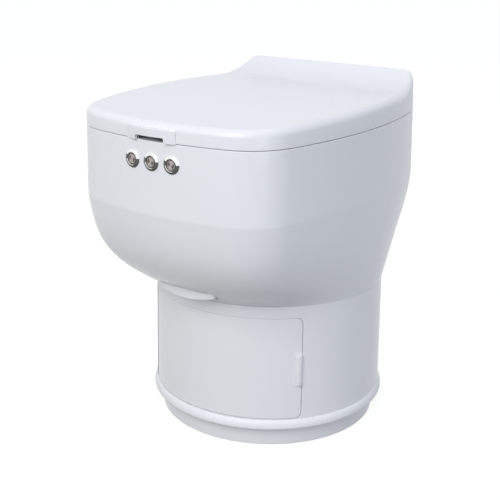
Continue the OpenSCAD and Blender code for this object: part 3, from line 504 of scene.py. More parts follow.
def tab_bow():
    end_y = FRONT_Y + TAB_HALF ** 2 / (2 * FRONT_ARC) - TAB_END
    bow = [Vector((TAB_HALF * u, end_y - (TAB_OUT - TAB_END) * (1 - u * u))) for u in spread(-1, 1, 24)]
    back = [Vector((TAB_HALF * u, front_wall(TAB_HALF * u) + TAB_BACK)) for u in spread(1, -1, 24)]
    return bow + back


def prism(name, points, low, high, bevel=0.0):
    """Extrudes a plan upwards and rounds its edges."""
    bm = bmesh.new()
    face = bm.faces.new([bm.verts.new((p.x, p.y, low)) for p in points])
    thicken(bm, (0, 0, high - low), [face])
    if bevel:
        soften(bm, [e for e in bm.edges if e.calc_face_angle(0) > math.radians(40)], bevel)
    return finish_mesh(bm, name, 40)


tab = prism("finger_tab", tab_bow(), TAB_LOW, TAB_HIGH, TAB_SOFT)
weighted(carve(tab, slot_cutter()))
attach(tab, "lid")
print("finger tab:", len(tab.data.polygons), "faces")

# %% [markdown]
# ## Pedestal and door, cut from one flat sheet
# The pedestal is a slightly tapered tube, and its door is a piece of the same tube. A tube
# unrolls flat, so both start as flat sheets, where a rounded rectangle is easy to draw and
# its edges bevel evenly. Bending the sheet round the axis comes last.

# %% Sheet helpers
DRUM_LOW_R, DRUM_HIGH_R, DRUM_WALL = 170 * MM, 167.6 * MM, 4 * MM
PLINTH_R, PLINTH_H, FLANGE_R, FLANGE_TOP = 161 * MM, 28.2 * MM, 174.1 * MM, 41.5 * MM
DOOR_LEFT, DOOR_RIGHT = math.radians(-42.8), math.radians(50.4)
DOOR_LOW, DOOR_HIGH = 44.8 * MM, 193.4 * MM
CORNER_STEPS = 10


def drum_r(z):
    return DRUM_LOW_R + (DRUM_HIGH_R - DRUM_LOW_R) * (z - PLINTH_H) / (DRUM_TOP - PLINTH_H)


MEAN_R = drum_r((DOOR_LOW + DOOR_HIGH) / 2)


def rounded_rect(x0, z0, x1, z1, left, right):
    """Corner arcs of a rectangle with one radius on its left and one on its right."""
    points = []
    for x, z, radius, start in ((x1 - right, z0 + right, right, -90), (x1 - right, z1 - right, right, 0),
                                (x0 + left, z1 - left, left, 90), (x0 + left, z0 + left, left, 180)):
        for a in spread(math.radians(start), math.radians(start + 90), CORNER_STEPS):
            points.append(Vector((x + radius * math.cos(a), z + radius * math.sin(a))))
    return points


def closed_loop(bm, places):
    verts = [bm.verts.new(p) for p in places]
    return [bm.edges.new((verts[i - 1], verts[i])) for i in range(len(verts))]


def bent_sheet(name, loops, thickness, bevel, closed=False, sunk=0.0, step=4 * MM):
    """Fills loops drawn on a flat sheet, thickens and bevels it, and bends it round Z."""
    bm = bmesh.new()
    edges = [e for points in loops for e in closed_loop(bm, [(p.x, 0, p.y) for p in points])]
    bmesh.ops.triangle_fill(bm, use_beauty=True, edges=edges)
    bmesh.ops.dissolve_limit(bm, angle_limit=0.01, verts=bm.verts, edges=bm.edges)
    low, high = min(v.co.x for v in bm.verts), max(v.co.x for v in bm.verts)
    for x in spread(low, high, max(1, int((high - low) / step)))[1:-1]:
        whole = bm.verts[:] + bm.edges[:] + bm.faces[:]
        bmesh.ops.bisect_plane(bm, geom=whole, plane_co=(x, 0, 0), plane_no=(1, 0, 0))
    thicken(bm, (0, thickness, 0))
    if closed:
        ends = [f for f in bm.faces if all(abs(abs(v.co.x) - high) < 1e-6 for v in f.verts)]
        bmesh.ops.delete(bm, geom=ends, context="FACES_ONLY")
    bmesh.ops.recalc_face_normals(bm, faces=bm.faces)
    sharp = [e for e in bm.edges if len(e.link_faces) == 2 and e.calc_face_angle(0) > 1.0
             and all(abs(abs(v.co.x) - high) > 1e-6 or not closed for v in e.verts)]
    soften(bm, sharp, bevel, clamp=True)
    for vert in bm.verts:
        s, depth, z = vert.co
        radius, angle = drum_r(z) - depth - sunk, s / MEAN_R
        vert.co = (radius * math.sin(angle), -radius * math.cos(angle), z)
    bmesh.ops.remove_doubles(bm, verts=bm.verts, dist=2e-5)
    return weighted(finish_mesh(bm, name, 50))


print("sheet helpers ready, mean radius", round(MEAN_R, 4))

# %% [markdown]
# The door fills a hole in the wall, with a fine seam on three sides and a wide gap at its
# hinged edge. A real door closes on a rebate, so a thin lip follows the seam from behind
# and nobody sees through it. A strip of black rubber lines the hinge gap's wall: painted
# shade, dark where the gap would be in shade.

# %% Pedestal wall and door panel
DOOR_CORNER, DOOR_SEAM, HINGE_SEAM, PANEL_SOFT = 8.5 * MM, 0.5 * MM, 6 * MM, 0.9 * MM
STOP_OUT, STOP_IN, STOP_FROM_HINGE, STOP_T, TIGHT = 4 * MM, 1.5 * MM, 14 * MM, 1.5 * MM, 0.2 * MM
door_box = (DOOR_LEFT * MEAN_R, DOOR_LOW, DOOR_RIGHT * MEAN_R, DOOR_HIGH)
hole_box = (door_box[0] - HINGE_SEAM, DOOR_LOW - DOOR_SEAM, door_box[2] + DOOR_SEAM, DOOR_HIGH + DOOR_SEAM)
half_turn, WALL_LOW = math.pi * MEAN_R, FLANGE_TOP - 4 * MM
wall_loop = [Vector(p) for p in ((-half_turn, WALL_LOW), (half_turn, WALL_LOW),
                                 (half_turn, DRUM_TOP), (-half_turn, DRUM_TOP))]
pedestal = bent_sheet("pedestal_wall", [wall_loop, rounded_rect(*hole_box, MM, DOOR_CORNER + DOOR_SEAM)],
                      DRUM_WALL, PANEL_SOFT, closed=True)
door = bent_sheet("door_panel", [rounded_rect(*door_box, MM, DOOR_CORNER)], DRUM_WALL, PANEL_SOFT)
wide, narrow = [rounded_rect(door_box[0] + STOP_FROM_HINGE, DOOR_LOW - reach, door_box[2] + reach,
                             DOOR_HIGH + reach, TIGHT, DOOR_CORNER + reach)
                for reach in (STOP_OUT, -STOP_IN)]
foot = 3 * (CORNER_STEPS + 1)
stop_loop = wide[foot:] + wide[:foot] + narrow[:foot][::-1] + narrow[foot:][::-1]
door_stop = bent_sheet("door_stop", [stop_loop], STOP_T, TIGHT, sunk=DRUM_WALL + 0.3 * MM)
# Painted shade: a black strip on the hinge gap's wall, so that the gap reads dark.
gap_strip_box = (hole_box[0], DOOR_LOW, hole_box[0] + 1.5 * MM, DOOR_HIGH)
gap_shade_strip = bent_sheet("gap_shade_strip", [rounded_rect(*gap_strip_box, TIGHT, TIGHT)], 3 * MM, TIGHT, sunk=0.1 * MM)
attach(pedestal, "body")
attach(door_stop, "body")
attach(gap_shade_strip, "body")
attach(door, "door")
print("pedestal", len(pedestal.data.polygons), "faces, door", len(door.data.polygons), "faces")

# %% [markdown]
# Inside the pedestal, a plate closes its top and holds the gate's opening, and a small
# boss takes the upper hinge pin. The door carries two knuckles on the same pin line.

# %% Pedestal top, boss and door knuckles
HINGE_A, DOOR_AXIS_R = DOOR_LEFT + math.radians(1.4), DRUM_HIGH_R - DRUM_WALL + 0.9 * MM
PLATE_T, DOOR_KNUCKLE_R, DOOR_KNUCKLE_H, BOSS_R = 6 * MM, 3 * MM, 24 * MM, 4 * MM
GATE_HALF, GATE_FRONT, GATE_BACK = 44 * MM, -64 * MM, 46 * MM
door_axis = Vector((DOOR_AXIS_R * math.sin(HINGE_A), -DOOR_AXIS_R * math.cos(HINGE_A), 0))


def on_door_axis(name, radius, low, high):
    return rod(name, radius, door_axis + Vector((0, 0, low)), door_axis + Vector((0, 0, high)), segments=32)


top_plate = rod("top_plate", DRUM_HIGH_R - DRUM_WALL + 0.5 * MM,
                (0, 0, DRUM_TOP - PLATE_T), (0, 0, DRUM_TOP), segments=160)
gate = block("gate", (-GATE_HALF, GATE_FRONT, DRUM_TOP - PLATE_T - 2 * MM),
             (GATE_HALF, GATE_BACK, DRUM_TOP + 2 * MM))
carve(top_plate, gate)
boss = on_door_axis("boss", BOSS_R, DOOR_HIGH + 1.2 * MM, DRUM_TOP - 5 * MM)
pedestal_top = joined("pedestal_top", [top_plate, boss])
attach(pedestal_top, "body")
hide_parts("pedestal")
door_knuckles = joined("door_knuckles", [
    on_door_axis("low", DOOR_KNUCKLE_R, DOOR_LOW, DOOR_LOW + DOOR_KNUCKLE_H),
    on_door_axis("high", DOOR_KNUCKLE_R, DOOR_HIGH - DOOR_KNUCKLE_H, DOOR_HIGH)])
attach(door_knuckles, "door")
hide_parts("door")
print("pedestal top and door knuckles made")

# %% [markdown]
# ## Flange and plinth
# Both are turned rings, so each is one profile spun round the axis. The flange has a tall
# rounded nose that stands out past the pedestal, and the plinth sits back under it.

# %% Turned rings
def turned(name, profile, steps=160, centre=(0, 0, 0), axis=(0, 0, 1), start=(1, 0, 0), angle=40):
    """Spins a profile of radius and height round an axis."""
    bm = bmesh.new()
    out, up = Vector(start), Vector(axis)
    verts = [bm.verts.new(Vector(centre) + out * r + up * h) for r, h in profile]
    edges = [bm.edges.new(pair) for pair in zip(verts, verts[1:])]
    bmesh.ops.spin(bm, geom=verts + edges, cent=centre, axis=axis, angle=2 * math.pi,
                   steps=steps, use_merge=True)
    return weighted(finish_mesh(bm, name, angle))


def bend_of(centre, radius, start, end, steps=8):
    """Points of an arc in a profile, angles in degrees."""
    turns = [math.radians(a) for a in spread(start, end, steps)]
    return [(centre[0] + radius * math.cos(a), centre[1] + radius * math.sin(a)) for a in turns]


PAN_T, PAN_R, HEEL_R = 3 * MM, PLINTH_R - 12 * MM, 4 * MM
NOSE_OUT, NOSE_UP, NOSE_Z, NOSE_IN, NOSE_STEP = 7 * MM, 11 * MM, 32.5 * MM, PLINTH_R + 4 * MM, 0.5 * MM
PLINTH_IN, PLINTH_EDGE, FOOT_R, FOOT_IN, FOOT_T = PLINTH_R - 4 * MM, 0.6 * MM, 1.5 * MM, 128 * MM, 6 * MM
BOLT_CIRCLE_R, BOLT_HOLE_R = 140 * MM, 3.3 * MM
flange_profile = [(0, FLANGE_TOP - PAN_T), (PAN_R, FLANGE_TOP - PAN_T), (PAN_R, PLINTH_H)]
flange_profile += [(FLANGE_R - 4.5 * MM, PLINTH_H)]
flange_profile += bend_of((FLANGE_R - HEEL_R, PLINTH_H + HEEL_R), HEEL_R, -80, 0)
flange_profile += [(FLANGE_R - NOSE_OUT * (1 - math.cos(a)), NOSE_Z + NOSE_UP * math.sin(a))
                   for a in spread(0, math.pi / 2, 14)]
flange_profile += [(NOSE_IN + NOSE_STEP, NOSE_Z + NOSE_UP), (NOSE_IN, FLANGE_TOP), (0, FLANGE_TOP)]
flange = turned("flange", flange_profile)
plinth_profile = [(PLINTH_IN, PLINTH_H), (PLINTH_R - PLINTH_EDGE, PLINTH_H)]
plinth_profile += [(PLINTH_R, PLINTH_H - PLINTH_EDGE)]
plinth_profile += bend_of((PLINTH_R - FOOT_R, FOOT_R), FOOT_R, 0, -90)
plinth_profile += [(FOOT_IN, 0), (FOOT_IN, FOOT_T), (PLINTH_IN, FOOT_T), (PLINTH_IN, PLINTH_H)]
plinth = turned("plinth_ring", plinth_profile)
floor_holes = []
for a in (math.pi * (0.25 + 0.5 * i) for i in range(4)):
    x, y = BOLT_CIRCLE_R * math.cos(a), BOLT_CIRCLE_R * math.sin(a)
    floor_holes.append(rod("hole", BOLT_HOLE_R, (x, y, -MM), (x, y, FOOT_T + MM), segments=24))
carve(plinth, *floor_holes)
for piece, node in ((flange, "flange_ring"), (plinth, "plinth")):
    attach(piece, "body")
    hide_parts(node)
print("flange and plinth turned")

# %% [markdown]
# ## Door pull
# The pull is a small upright barrel by the door's right edge, half sunk in the door. Its
# ends are rounded, so it starts as a cylinder and its two rims are bevelled.

# %% Door pull
PULL_A, PULL_Z, PULL_H = DOOR_RIGHT - math.radians(1.6), 117.6 * MM, 46 * MM
PULL_R, PULL_OUT, PULL_END = 5.2 * MM, 5.5 * MM, 1.6 * MM
pull_r0 = drum_r(PULL_Z) + PULL_OUT - PULL_R
pull_at = (pull_r0 * math.sin(PULL_A), -pull_r0 * math.cos(PULL_A), PULL_Z)
pull_mesh = bmesh.new()
bmesh.ops.create_cone(pull_mesh, cap_ends=True, segments=48, radius1=PULL_R, radius2=PULL_R, depth=PULL_H)
soften(pull_mesh, [e for e in pull_mesh.edges if e.calc_face_angle(0) > 1.0], PULL_END, 5)
bmesh.ops.translate(pull_mesh, vec=pull_at, verts=pull_mesh.verts)
pull = finish_mesh(pull_mesh, "pull_barrel", 50)
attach(pull, "door")
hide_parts("door_pull")
print("pull:", len(pull.data.polygons), "faces")

# %% [markdown]
# ## Three push-button switches
# Each switch is a turned metal bezel with a wide bevel and a narrow flat, round a cap that
# sinks when it is pressed. A profile spun round the button's own axis makes both. The axis
# leans a little on the side buttons, because the front wall is an arc.

# %% Switches
PITCH, BUTTON_Z, BARREL_R, SWITCH_TURNS = 31.4 * MM, 419 * MM, 9.3 * MM, 96
BEZEL_R, BEZEL_OUT, FLAT_R = 11.5 * MM, 2.6 * MM, 8.3 * MM
CAP_R, CAP_SINK, DISC_R, DISC_STEP = 7.4 * MM, 0.5 * MM, 6.0 * MM, 0.6 * MM


def button_axis(x):
    lean = math.asin(x / FRONT_ARC)
    return Vector((math.sin(lean), -math.cos(lean), 0)), Vector((math.cos(lean), math.sin(lean), 0))


def bezel_profile():
    """Radius and height over the wall: outer bevel, flat, bore."""
    top = BEZEL_OUT
    return ([(BARREL_R, -12 * MM), (BARREL_R, 0), (BEZEL_R, 0), (BEZEL_R, top - 1.5 * MM)]
            + bend_of((BEZEL_R - 0.5 * MM, top - 1.5 * MM), 0.5 * MM, 10, 50, 3)
            + [(FLAT_R + 0.2 * MM, top - 0.1 * MM), (FLAT_R, top), (CAP_R + 0.3 * MM, top)]
            + [(CAP_R + 0.1 * MM, top - 0.3 * MM), (CAP_R + 0.1 * MM, -5 * MM), (0, -5 * MM)])


def cap_profile():
    """Raised disc, the step round it, and the cap's side."""
    face, step = BEZEL_OUT - CAP_SINK, BEZEL_OUT - CAP_SINK - DISC_STEP
    low = face - 5 * MM
    return ([(0, face), (DISC_R - 0.2 * MM, face), (DISC_R, face - 0.1 * MM), (DISC_R + 0.1 * MM, step)]
            + [(CAP_R - 0.2 * MM, step), (CAP_R, step - 0.2 * MM), (CAP_R, low), (0, low)])


bezels, caps = [], []
for side, x in (("left", -PITCH), ("middle", 0.0), ("right", PITCH)):
    out, across = button_axis(x)
    centre = (x, front_wall(x), BUTTON_Z)
    bezel = turned("bezel_" + side, bezel_profile(), SWITCH_TURNS, centre, out, across, 25)
    cap = turned("cap_" + side, cap_profile(), SWITCH_TURNS, centre, out, across, 25)
    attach(bezel, "body")
    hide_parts("switch_" + side)
    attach(cap, "button_" + side)
    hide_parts("button_" + side)
    bezels.append(bezel)
    caps.append(cap)
print("switches:", [b.name for b in bezels])

# %% [markdown]
# ## Shutter handle
# The tongue that shows under the belly is the shutter's handle. It was drawn with its
# hole above; behind it goes the blade that slides over the gate, whose curved front edge
# fills the slot that it slides through.

# %% Shutter
HANDLE_SOFT, BLADE_REAR = 1.5 * MM, 54 * MM
handle = weighted(tongue("shutter_tongue", 0, -HANDLE_R, HANDLE_D - HANDLE_R, HANDLE_SOFT))
blade_plan = [Vector((x, -math.sqrt(BLADE_R ** 2 - x * x))) for x in spread(-BLADE_HALF, BLADE_HALF, 24)]
blade_plan += [Vector((BLADE_HALF, BLADE_REAR)), Vector((-BLADE_HALF, BLADE_REAR))]
blade = prism("blade", blade_plan, SHUTTER_Z, SHUTTER_Z + SHUTTER_T)
shutter = joined("shutter_slide", [handle, blade])
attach(shutter, "shutter")
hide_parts("shutter")
print("shutter:", len(shutter.data.polygons), "faces")

# %% [markdown]
# ## Seat, deck and bowl
# These only show with the lid open. The seat is the body's D drawn smaller, with an oval
# hole and a soft round edge; the bowl is a loft from an oval mouth to a round outlet.

# %% Seat and deck
SEAT_LOW, SEAT_T, SEAT_REAR = BODY_TOP + 3 * MM, 13 * MM, HINGE_Y - 30 * MM
SEAT_INSET, SEAT_SOFT = 8 * MM, 4.5 * MM
HOLE_Y, SEAT_HOLE, BOWL_MOUTH, OVAL_STEPS = -82 * MM, (106 * MM, 122 * MM), (112 * MM, 128 * MM), 120
DECK_T, DECK_SOFT = 4 * MM, 0.3 * MM


def oval(a, b, y):
    turns = spread(0, 2 * math.pi, OVAL_STEPS)[:-1]
    return [Vector((a * math.cos(t), y + b * math.sin(t))) for t in turns]


def holed_plate(name, outside, inside, low, high, bevel):
    """A plate between two loops, thickened and rounded."""
    bm = bmesh.new()
    edges = closed_loop(bm, lifted(outside, low)) + closed_loop(bm, lifted(inside, low))
    bmesh.ops.triangle_fill(bm, use_beauty=True, edges=edges)
    bmesh.ops.dissolve_limit(bm, angle_limit=0.01, verts=bm.verts, edges=bm.edges)
    thicken(bm, (0, 0, high - low))
    bmesh.ops.recalc_face_normals(bm, faces=bm.faces)
    sharp = [e for e in bm.edges if len(e.link_faces) == 2 and e.calc_face_angle(0) > 1.0
             and abs(e.verts[0].co.z - e.verts[1].co.z) < 1e-6]
    soften(bm, sharp, bevel, 6)
    return weighted(finish_mesh(bm, name, 30))


seat_loop = [p for p in outline(SEAT_INSET) if p.y < SEAT_REAR]
seat = holed_plate("seat_ring", seat_loop, oval(*SEAT_HOLE, HOLE_Y), SEAT_LOW, SEAT_LOW + SEAT_T, SEAT_SOFT)
deck = holed_plate("deck_plate", outline(SHELL_WALL), oval(*BOWL_MOUTH, HOLE_Y),
                   BODY_TOP - DECK_T, BODY_TOP, DECK_SOFT)
for piece, node in ((seat, "seat"), (deck, "deck")):
    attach(piece, "body")
    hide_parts(node)
print("seat", len(seat.data.polygons), "faces, deck", len(deck.data.polygons), "faces")

# %% [markdown]
# The bowl is lofted down its outside and up its inside, ring by ring, with a small rounded
# rim where the two meet. Its rings start as the mouth's oval and drift back as they shrink,
# because the outlet lies further back than the mouth.

# %% Bowl
BOWL_WALL, THROAT_Z, OUTLET_R, OUTLET_Z = 2.5 * MM, 344 * MM, 56 * MM, 318 * MM
DROP_Y, FIT, RIM_OUT, RIM_SOFT = -20 * MM, 0.2 * MM, 5 * MM, 0.8 * MM


def bowl_ring(depth, grow, z=None):
    t = depth ** 1.5
    a, b = [half * (1 - t) + OUTLET_R * t + grow for half in BOWL_MOUTH]
    level = BODY_TOP + (THROAT_Z - BODY_TOP) * depth if z is None else z
    return lifted(oval(a, b, HOLE_Y * (1 - t) + DROP_Y * t), level)


depths = spread(1, 0, 24)
rim_high = BODY_TOP + 2 * MM
bowl_rings = [bowl_ring(1, -FIT, OUTLET_Z)] + [bowl_ring(d, -FIT) for d in depths]
bowl_rings += [bowl_ring(0, RIM_OUT, BODY_TOP), bowl_ring(0, RIM_OUT, rim_high - RIM_SOFT)]
bowl_rings += [bowl_ring(0, RIM_OUT - RIM_SOFT, rim_high), bowl_ring(0, 0.5 * MM - BOWL_WALL, rim_high)]
bowl_rings += [bowl_ring(0, -BOWL_WALL - FIT, rim_high - RIM_SOFT)]
bowl_rings += [bowl_ring(d, -BOWL_WALL - FIT) for d in depths[::-1]]
bowl_rings += [bowl_ring(1, -BOWL_WALL - FIT, OUTLET_Z)]
bowl_mesh = bmesh.new()
loft(bowl_mesh, bowl_rings, join_ends=True)
bowl = finish_mesh(bowl_mesh, "bowl_funnel", 40)
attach(bowl, "body")
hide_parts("bowl")
print("bowl:", len(bowl.data.polygons), "faces")

# %% [markdown]
# ## Rear fittings and hinge posts
# The rear of the body carries a round slotted grille over the fan and a small power
# inlet. Two posts on the deck hold the hinge shaft. Bars of the grille are the leftover
# between slots, so the slots are cut from a turned disc.

# %% Grille, inlet and hinge posts
GRILLE_R, GRILLE_T, GRILLE_EDGE = 31 * MM, 3 * MM, 1.2 * MM
SLOT_REACH, SLOT_PITCH, SLOT_TALL = 26 * MM, 6 * MM, 1.6 * MM
INLET_RIM, INLET_OUT, INLET_BORE, INLET_BED, INLET_DEEP = 11 * MM, 2.5 * MM, 3.2 * MM, 8 * MM, 12 * MM
POST_IN, POST_OUT, POST_R, STEM_FRONT, STEM_BACK = 62 * MM, 88 * MM, 6 * MM, 7 * MM, 5 * MM
POST_FOOT_L, POST_FOOT_T = 28 * MM, 4 * MM


def rear_face(z):
    return REAR_Y + CREASE_OUT * (BODY_TOP - z) / (BODY_TOP - CREASE_Z)


grille_y = rear_face(GRILLE_Z - GRILLE_R)
grille_profile = [(0, 0), (GRILLE_R, 0), (GRILLE_R, GRILLE_T - GRILLE_EDGE)]
grille_profile += [(GRILLE_R - GRILLE_EDGE, GRILLE_T), (0, GRILLE_T)]
grille = turned("grille", grille_profile, 96, (0, grille_y, GRILLE_Z), (0, 1, 0), (1, 0, 0))
slots = []
for i in range(-4, 5):
    half, level = math.sqrt(SLOT_REACH ** 2 - (SLOT_PITCH * i) ** 2), GRILLE_Z + SLOT_PITCH * i
    slots.append(block("slot", (-half, grille_y - MM, level - SLOT_TALL),
                       (half, grille_y + GRILLE_T + MM, level + SLOT_TALL)))
carve(grille, *slots)
inlet_y = rear_face(INLET_Z - INLET_RIM)
inlet_profile = [(INLET_BORE, -INLET_BED), (INLET_BORE, INLET_OUT), (INLET_RIM - MM, INLET_OUT)]
inlet_profile += [(INLET_RIM, INLET_OUT - MM), (INLET_RIM, 0), (INLET_R, 0), (INLET_R, -INLET_DEEP)]
inlet_profile += [(0, -INLET_DEEP), (0, -INLET_BED), (INLET_BORE, -INLET_BED)]
inlet = turned("inlet", inlet_profile, 64, (INLET_X, inlet_y, INLET_Z), (0, 1, 0), (1, 0, 0))
posts = []
for x0, x1 in ((POST_IN, POST_OUT), (-POST_OUT, -POST_IN)):
    posts.append(rod("post", POST_R, (x0, HINGE_Y, HINGE_Z), (x1, HINGE_Y, HINGE_Z), "X"))
    posts.append(block("stem", (x0, HINGE_Y - STEM_FRONT, BODY_TOP), (x1, HINGE_Y + STEM_BACK, HINGE_Z)))
    posts.append(block("foot", (x0, HINGE_Y - POST_FOOT_L, BODY_TOP), (x1, HINGE_Y, BODY_TOP + POST_FOOT_T)))
hinge_posts = joined("hinge_posts", posts)
for piece, node in ((grille, "rear_grille"), (inlet, "power_inlet"), (hinge_posts, "hinge_brackets")):
    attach(piece, "body")
    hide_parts(node)
print("rear fittings made")

# %% [markdown]
# # Finishes
# Shader maths reads best as Python. A Wire holds one socket, and the usual operators on
# it add Math nodes. Its maker, a Finish, adds any other node from its type, its settings
# and the values or links of its sockets.

# %% Wires and finishes
class Wire:
    """An output socket that takes part in Python expressions."""

    def __init__(self, finish, socket):
        self.finish = finish
        self.socket = socket

    def _with(self, operation, first, second):
        return self.finish.node("ShaderNodeMath", {"operation": operation}, {0: first, 1: second})

    def __add__(self, other):
        return self._with("ADD", self, other)

    def __radd__(self, other):
        return self._with("ADD", other, self)

    def __sub__(self, other):
        return self._with("SUBTRACT", self, other)

    def __rsub__(self, other):
        return self._with("SUBTRACT", other, self)

    def __mul__(self, other):
        return self._with("MULTIPLY", self, other)

    def __rmul__(self, other):
        return self._with("MULTIPLY", other, self)

    def __truediv__(self, other):
        return self._with("DIVIDE", self, other)

    def __pow__(self, other):
        return self._with("POWER", self, other)


class Finish:
    """A material with a Principled shader, and one method for every other node."""

    def __init__(self, name, **values):
        self.material = bpy.data.materials.new(name)
        self.material.use_nodes = True
        self.tree = self.material.node_tree
        self.shader = self.tree.nodes["Principled BSDF"]
        for socket, value in values.items():
            self.shader.inputs[socket.replace("_", " ")].default_value = value
        self.place = self.node("ShaderNodeTexCoord", {}, {}, out="Object")

    def node(self, kind, settings, inputs, out=0):
        made = self.tree.nodes.new(kind)
        for name, value in settings.items():
            setattr(made, name, value)
        for name, value in inputs.items():
            if isinstance(value, Wire):
                self.tree.links.new(value.socket, made.inputs[name])
            else:
                made.inputs[name].default_value = value
        return Wire(self, made.outputs[out])

    def axis(self, letter):
        return self.node("ShaderNodeSeparateXYZ", {}, {0: self.place}, out=letter)

    def feed(self, socket, wire):
        self.tree.links.new(wire.socket, self.shader.inputs[socket])

    def noise(self, scale, detail=2.0, roughness=0.5):
        return self.node("ShaderNodeTexNoise", {}, {"Vector": self.place, "Scale": scale, "Detail": detail,
                                                    "Roughness": roughness}, out="Fac")

    def between(self, factor, low, high):
        """Mixes two colours by a factor."""
        mix = self.node("ShaderNodeMix", {"data_type": "RGBA"}, {0: factor}, out=2)
        mix.socket.node.inputs[6].default_value = (*low, 1)
        mix.socket.node.inputs[7].default_value = (*high, 1)
        return mix

    def relief(self, height, strength, distance):
        self.feed("Normal", self.node("ShaderNodeBump", {}, {"Height": height, "Strength": strength,
                                                             "Distance": distance}))


def dress(material, *objects):
    for piece in objects:
        piece.data.materials.clear()
        piece.data.materials.append(material)


print("wires and finishes ready")

# %% [markdown]
# ## White gloss plastic
# Moulded white plastic is never one flat white. Its gloss breaks up a little where the
# tool was polished unevenly, and its skin has a faint, wide ripple that bends highlights.

# %% White plastic
def white_plastic(name, colour, roughness):
    made = Finish(name, Roughness=roughness, IOR=1.49, Specular_IOR_Level=0.5)
    cloud, shade = made.noise(9.0, 3.0), [c - 0.02 for c in colour]
    made.feed("Base Color", made.between(cloud, shade, colour))
    made.feed("Roughness", roughness - 0.04 + 0.08 * cloud)
    made.relief(made.noise(12.0, 1.0), 0.03, 0.002)
    return made.material


shell_white = white_plastic("shell_white", (0.83, 0.837, 0.875), 0.26)
pedestal_white = white_plastic("pedestal_white", (0.83, 0.835, 0.865), 0.3)
# The flange's white is lighter than the pedestal's: painted light, for the top light that its rounded nose
# catches.
ring_lit_white = white_plastic("ring_lit_white", (0.87, 0.875, 0.91), 0.45)
shells = (body_shell, lid, lid_knuckles, tab, seat, deck, hinge_posts, bowl)
drums = (pedestal, pedestal_top, door_stop, door, door_knuckles, plinth, pull, grille, shutter)
dress(shell_white, *shells)
dress(pedestal_white, *drums)
dress(ring_lit_white, flange)
print("white plastics on the shells")

# %% [markdown]
# ## Metals of the switches
# Polished bezels mirror a studio: a white ceiling above, a dark floor below, with a hard
# line where the two meet. White is all that surrounds this object, so that reflection is
# painted into the metal's own colour, by the angle round each switch. The caps are satin
# and faintly pink, with a painted reflection: a darker hourglass, as a turned face shows,
# and painted shade on the sunk step round the raised disc.

# %% Metals
BOWTIE_IN, BOWTIE_OUT, BOWTIE_TILT = 4.9 * MM, 5.6 * MM, (0.94, 0.34)


def smooth_step(made, value, low, high):
    return made.node("ShaderNodeMapRange", {"interpolation_type": "SMOOTHSTEP"},
                     {"Value": value, "From Min": low, "From Max": high})


def switch_polar(made):
    """Offsets from the nearest switch's axis, across and up, and the distance."""
    across = made.node("ShaderNodeMath", {"operation": "WRAP"},
                       {0: made.axis("X"), 1: PITCH / 2, 2: -PITCH / 2})
    up = made.axis("Z") - BUTTON_Z
    return across, up, (across * across + up * up) ** 0.5


def bezel_painted_reflection():
    made = Finish("bezel_metal", Metallic=1.0)
    across, up, away = switch_polar(made)
    side = across / away
    # Painted reflection: the bezel is white above, dark below and has a bright glint at the lower left, all
    # painted into its base colour by the angle round the switch.
    lit = smooth_step(made, 0.22 * side + 0.97 * up / away, 0.28, 0.36)
    glint = smooth_step(made, -0.5 * side - 0.87 * up / away, 0.5, 0.75)
    rim = smooth_step(made, away, FLAT_R, FLAT_R + 0.3 * MM)
    streak = made.noise(700.0, 2.0)
    # Painted reflection on the outer bevel: white where lit, dark elsewhere, with a random grain.
    edge = 0.92 * lit + (1 - lit) * (0.04 + 0.05 * side * side - 0.02 * side + 0.04 * streak)
    flat_reflection = (1 - rim) * (0.12 + 0.18 * lit + 0.65 * glint)
    made.feed("Base Color", made.between(rim * edge + flat_reflection, (0.01, 0.01, 0.012), (1.0, 0.99, 0.985)))
    made.feed("Roughness", 0.16 + 0.10 * streak)
    return made.material


def cap_tone_and_painted_light():
    made = Finish("cap_metal", Metallic=1.0)
    across, up, away = switch_polar(made)
    c, s = BOWTIE_TILT
    one, other = c * across - s * up, s * across + c * up
    # Painted reflection: a darker hourglass across the cap, as a turned face reflects.
    bowtie_reflection = smooth_step(made, (one * one - other * other) * 1e5, 0.0, 0.3)
    bowtie_reflection = bowtie_reflection * smooth_step(made, away, BOWTIE_OUT, BOWTIE_IN)
    # Painted shade: the sunk step round the raised disc is darkened.
    ring = smooth_step(made, away, DISC_R - 0.2 * MM, DISC_R)
    streak = made.noise(500.0, 2.0)
    tone = (0.8 + 0.35 * streak - 0.7 * bowtie_reflection) * (1 - 0.8 * ring)
    made.feed("Base Color", made.between(tone, (0.03, 0.025, 0.025), (0.42, 0.375, 0.36)))
    made.feed("Roughness", 0.24 + 0.12 * streak)
    made.relief(streak, 0.15, 0.0002)
    return made.material


dress(bezel_painted_reflection(), *bezels)
dress(cap_tone_and_painted_light(), *caps)
print("metals on", len(bezels) + len(caps), "pieces")

# %% [markdown]
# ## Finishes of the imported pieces
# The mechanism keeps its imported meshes. Each kind of stuff gets one finish: satin
# engineering plastic, rubber, steel, aluminium, brass, lacquered board and film.

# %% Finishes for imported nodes
def plain(name, low, high, roughness, metallic=0.0, scale=60.0, bump=0.15):
    made = Finish(name, Roughness=roughness, Metallic=metallic)
    cloud, grain = made.noise(scale, 3.0), made.noise(scale * 14, 2.0)
    made.feed("Base Color", made.between(cloud, low, high))
    made.feed("Roughness", roughness - 0.05 + 0.1 * grain)
    made.relief(grain, bump, 0.0003)
    return made.material


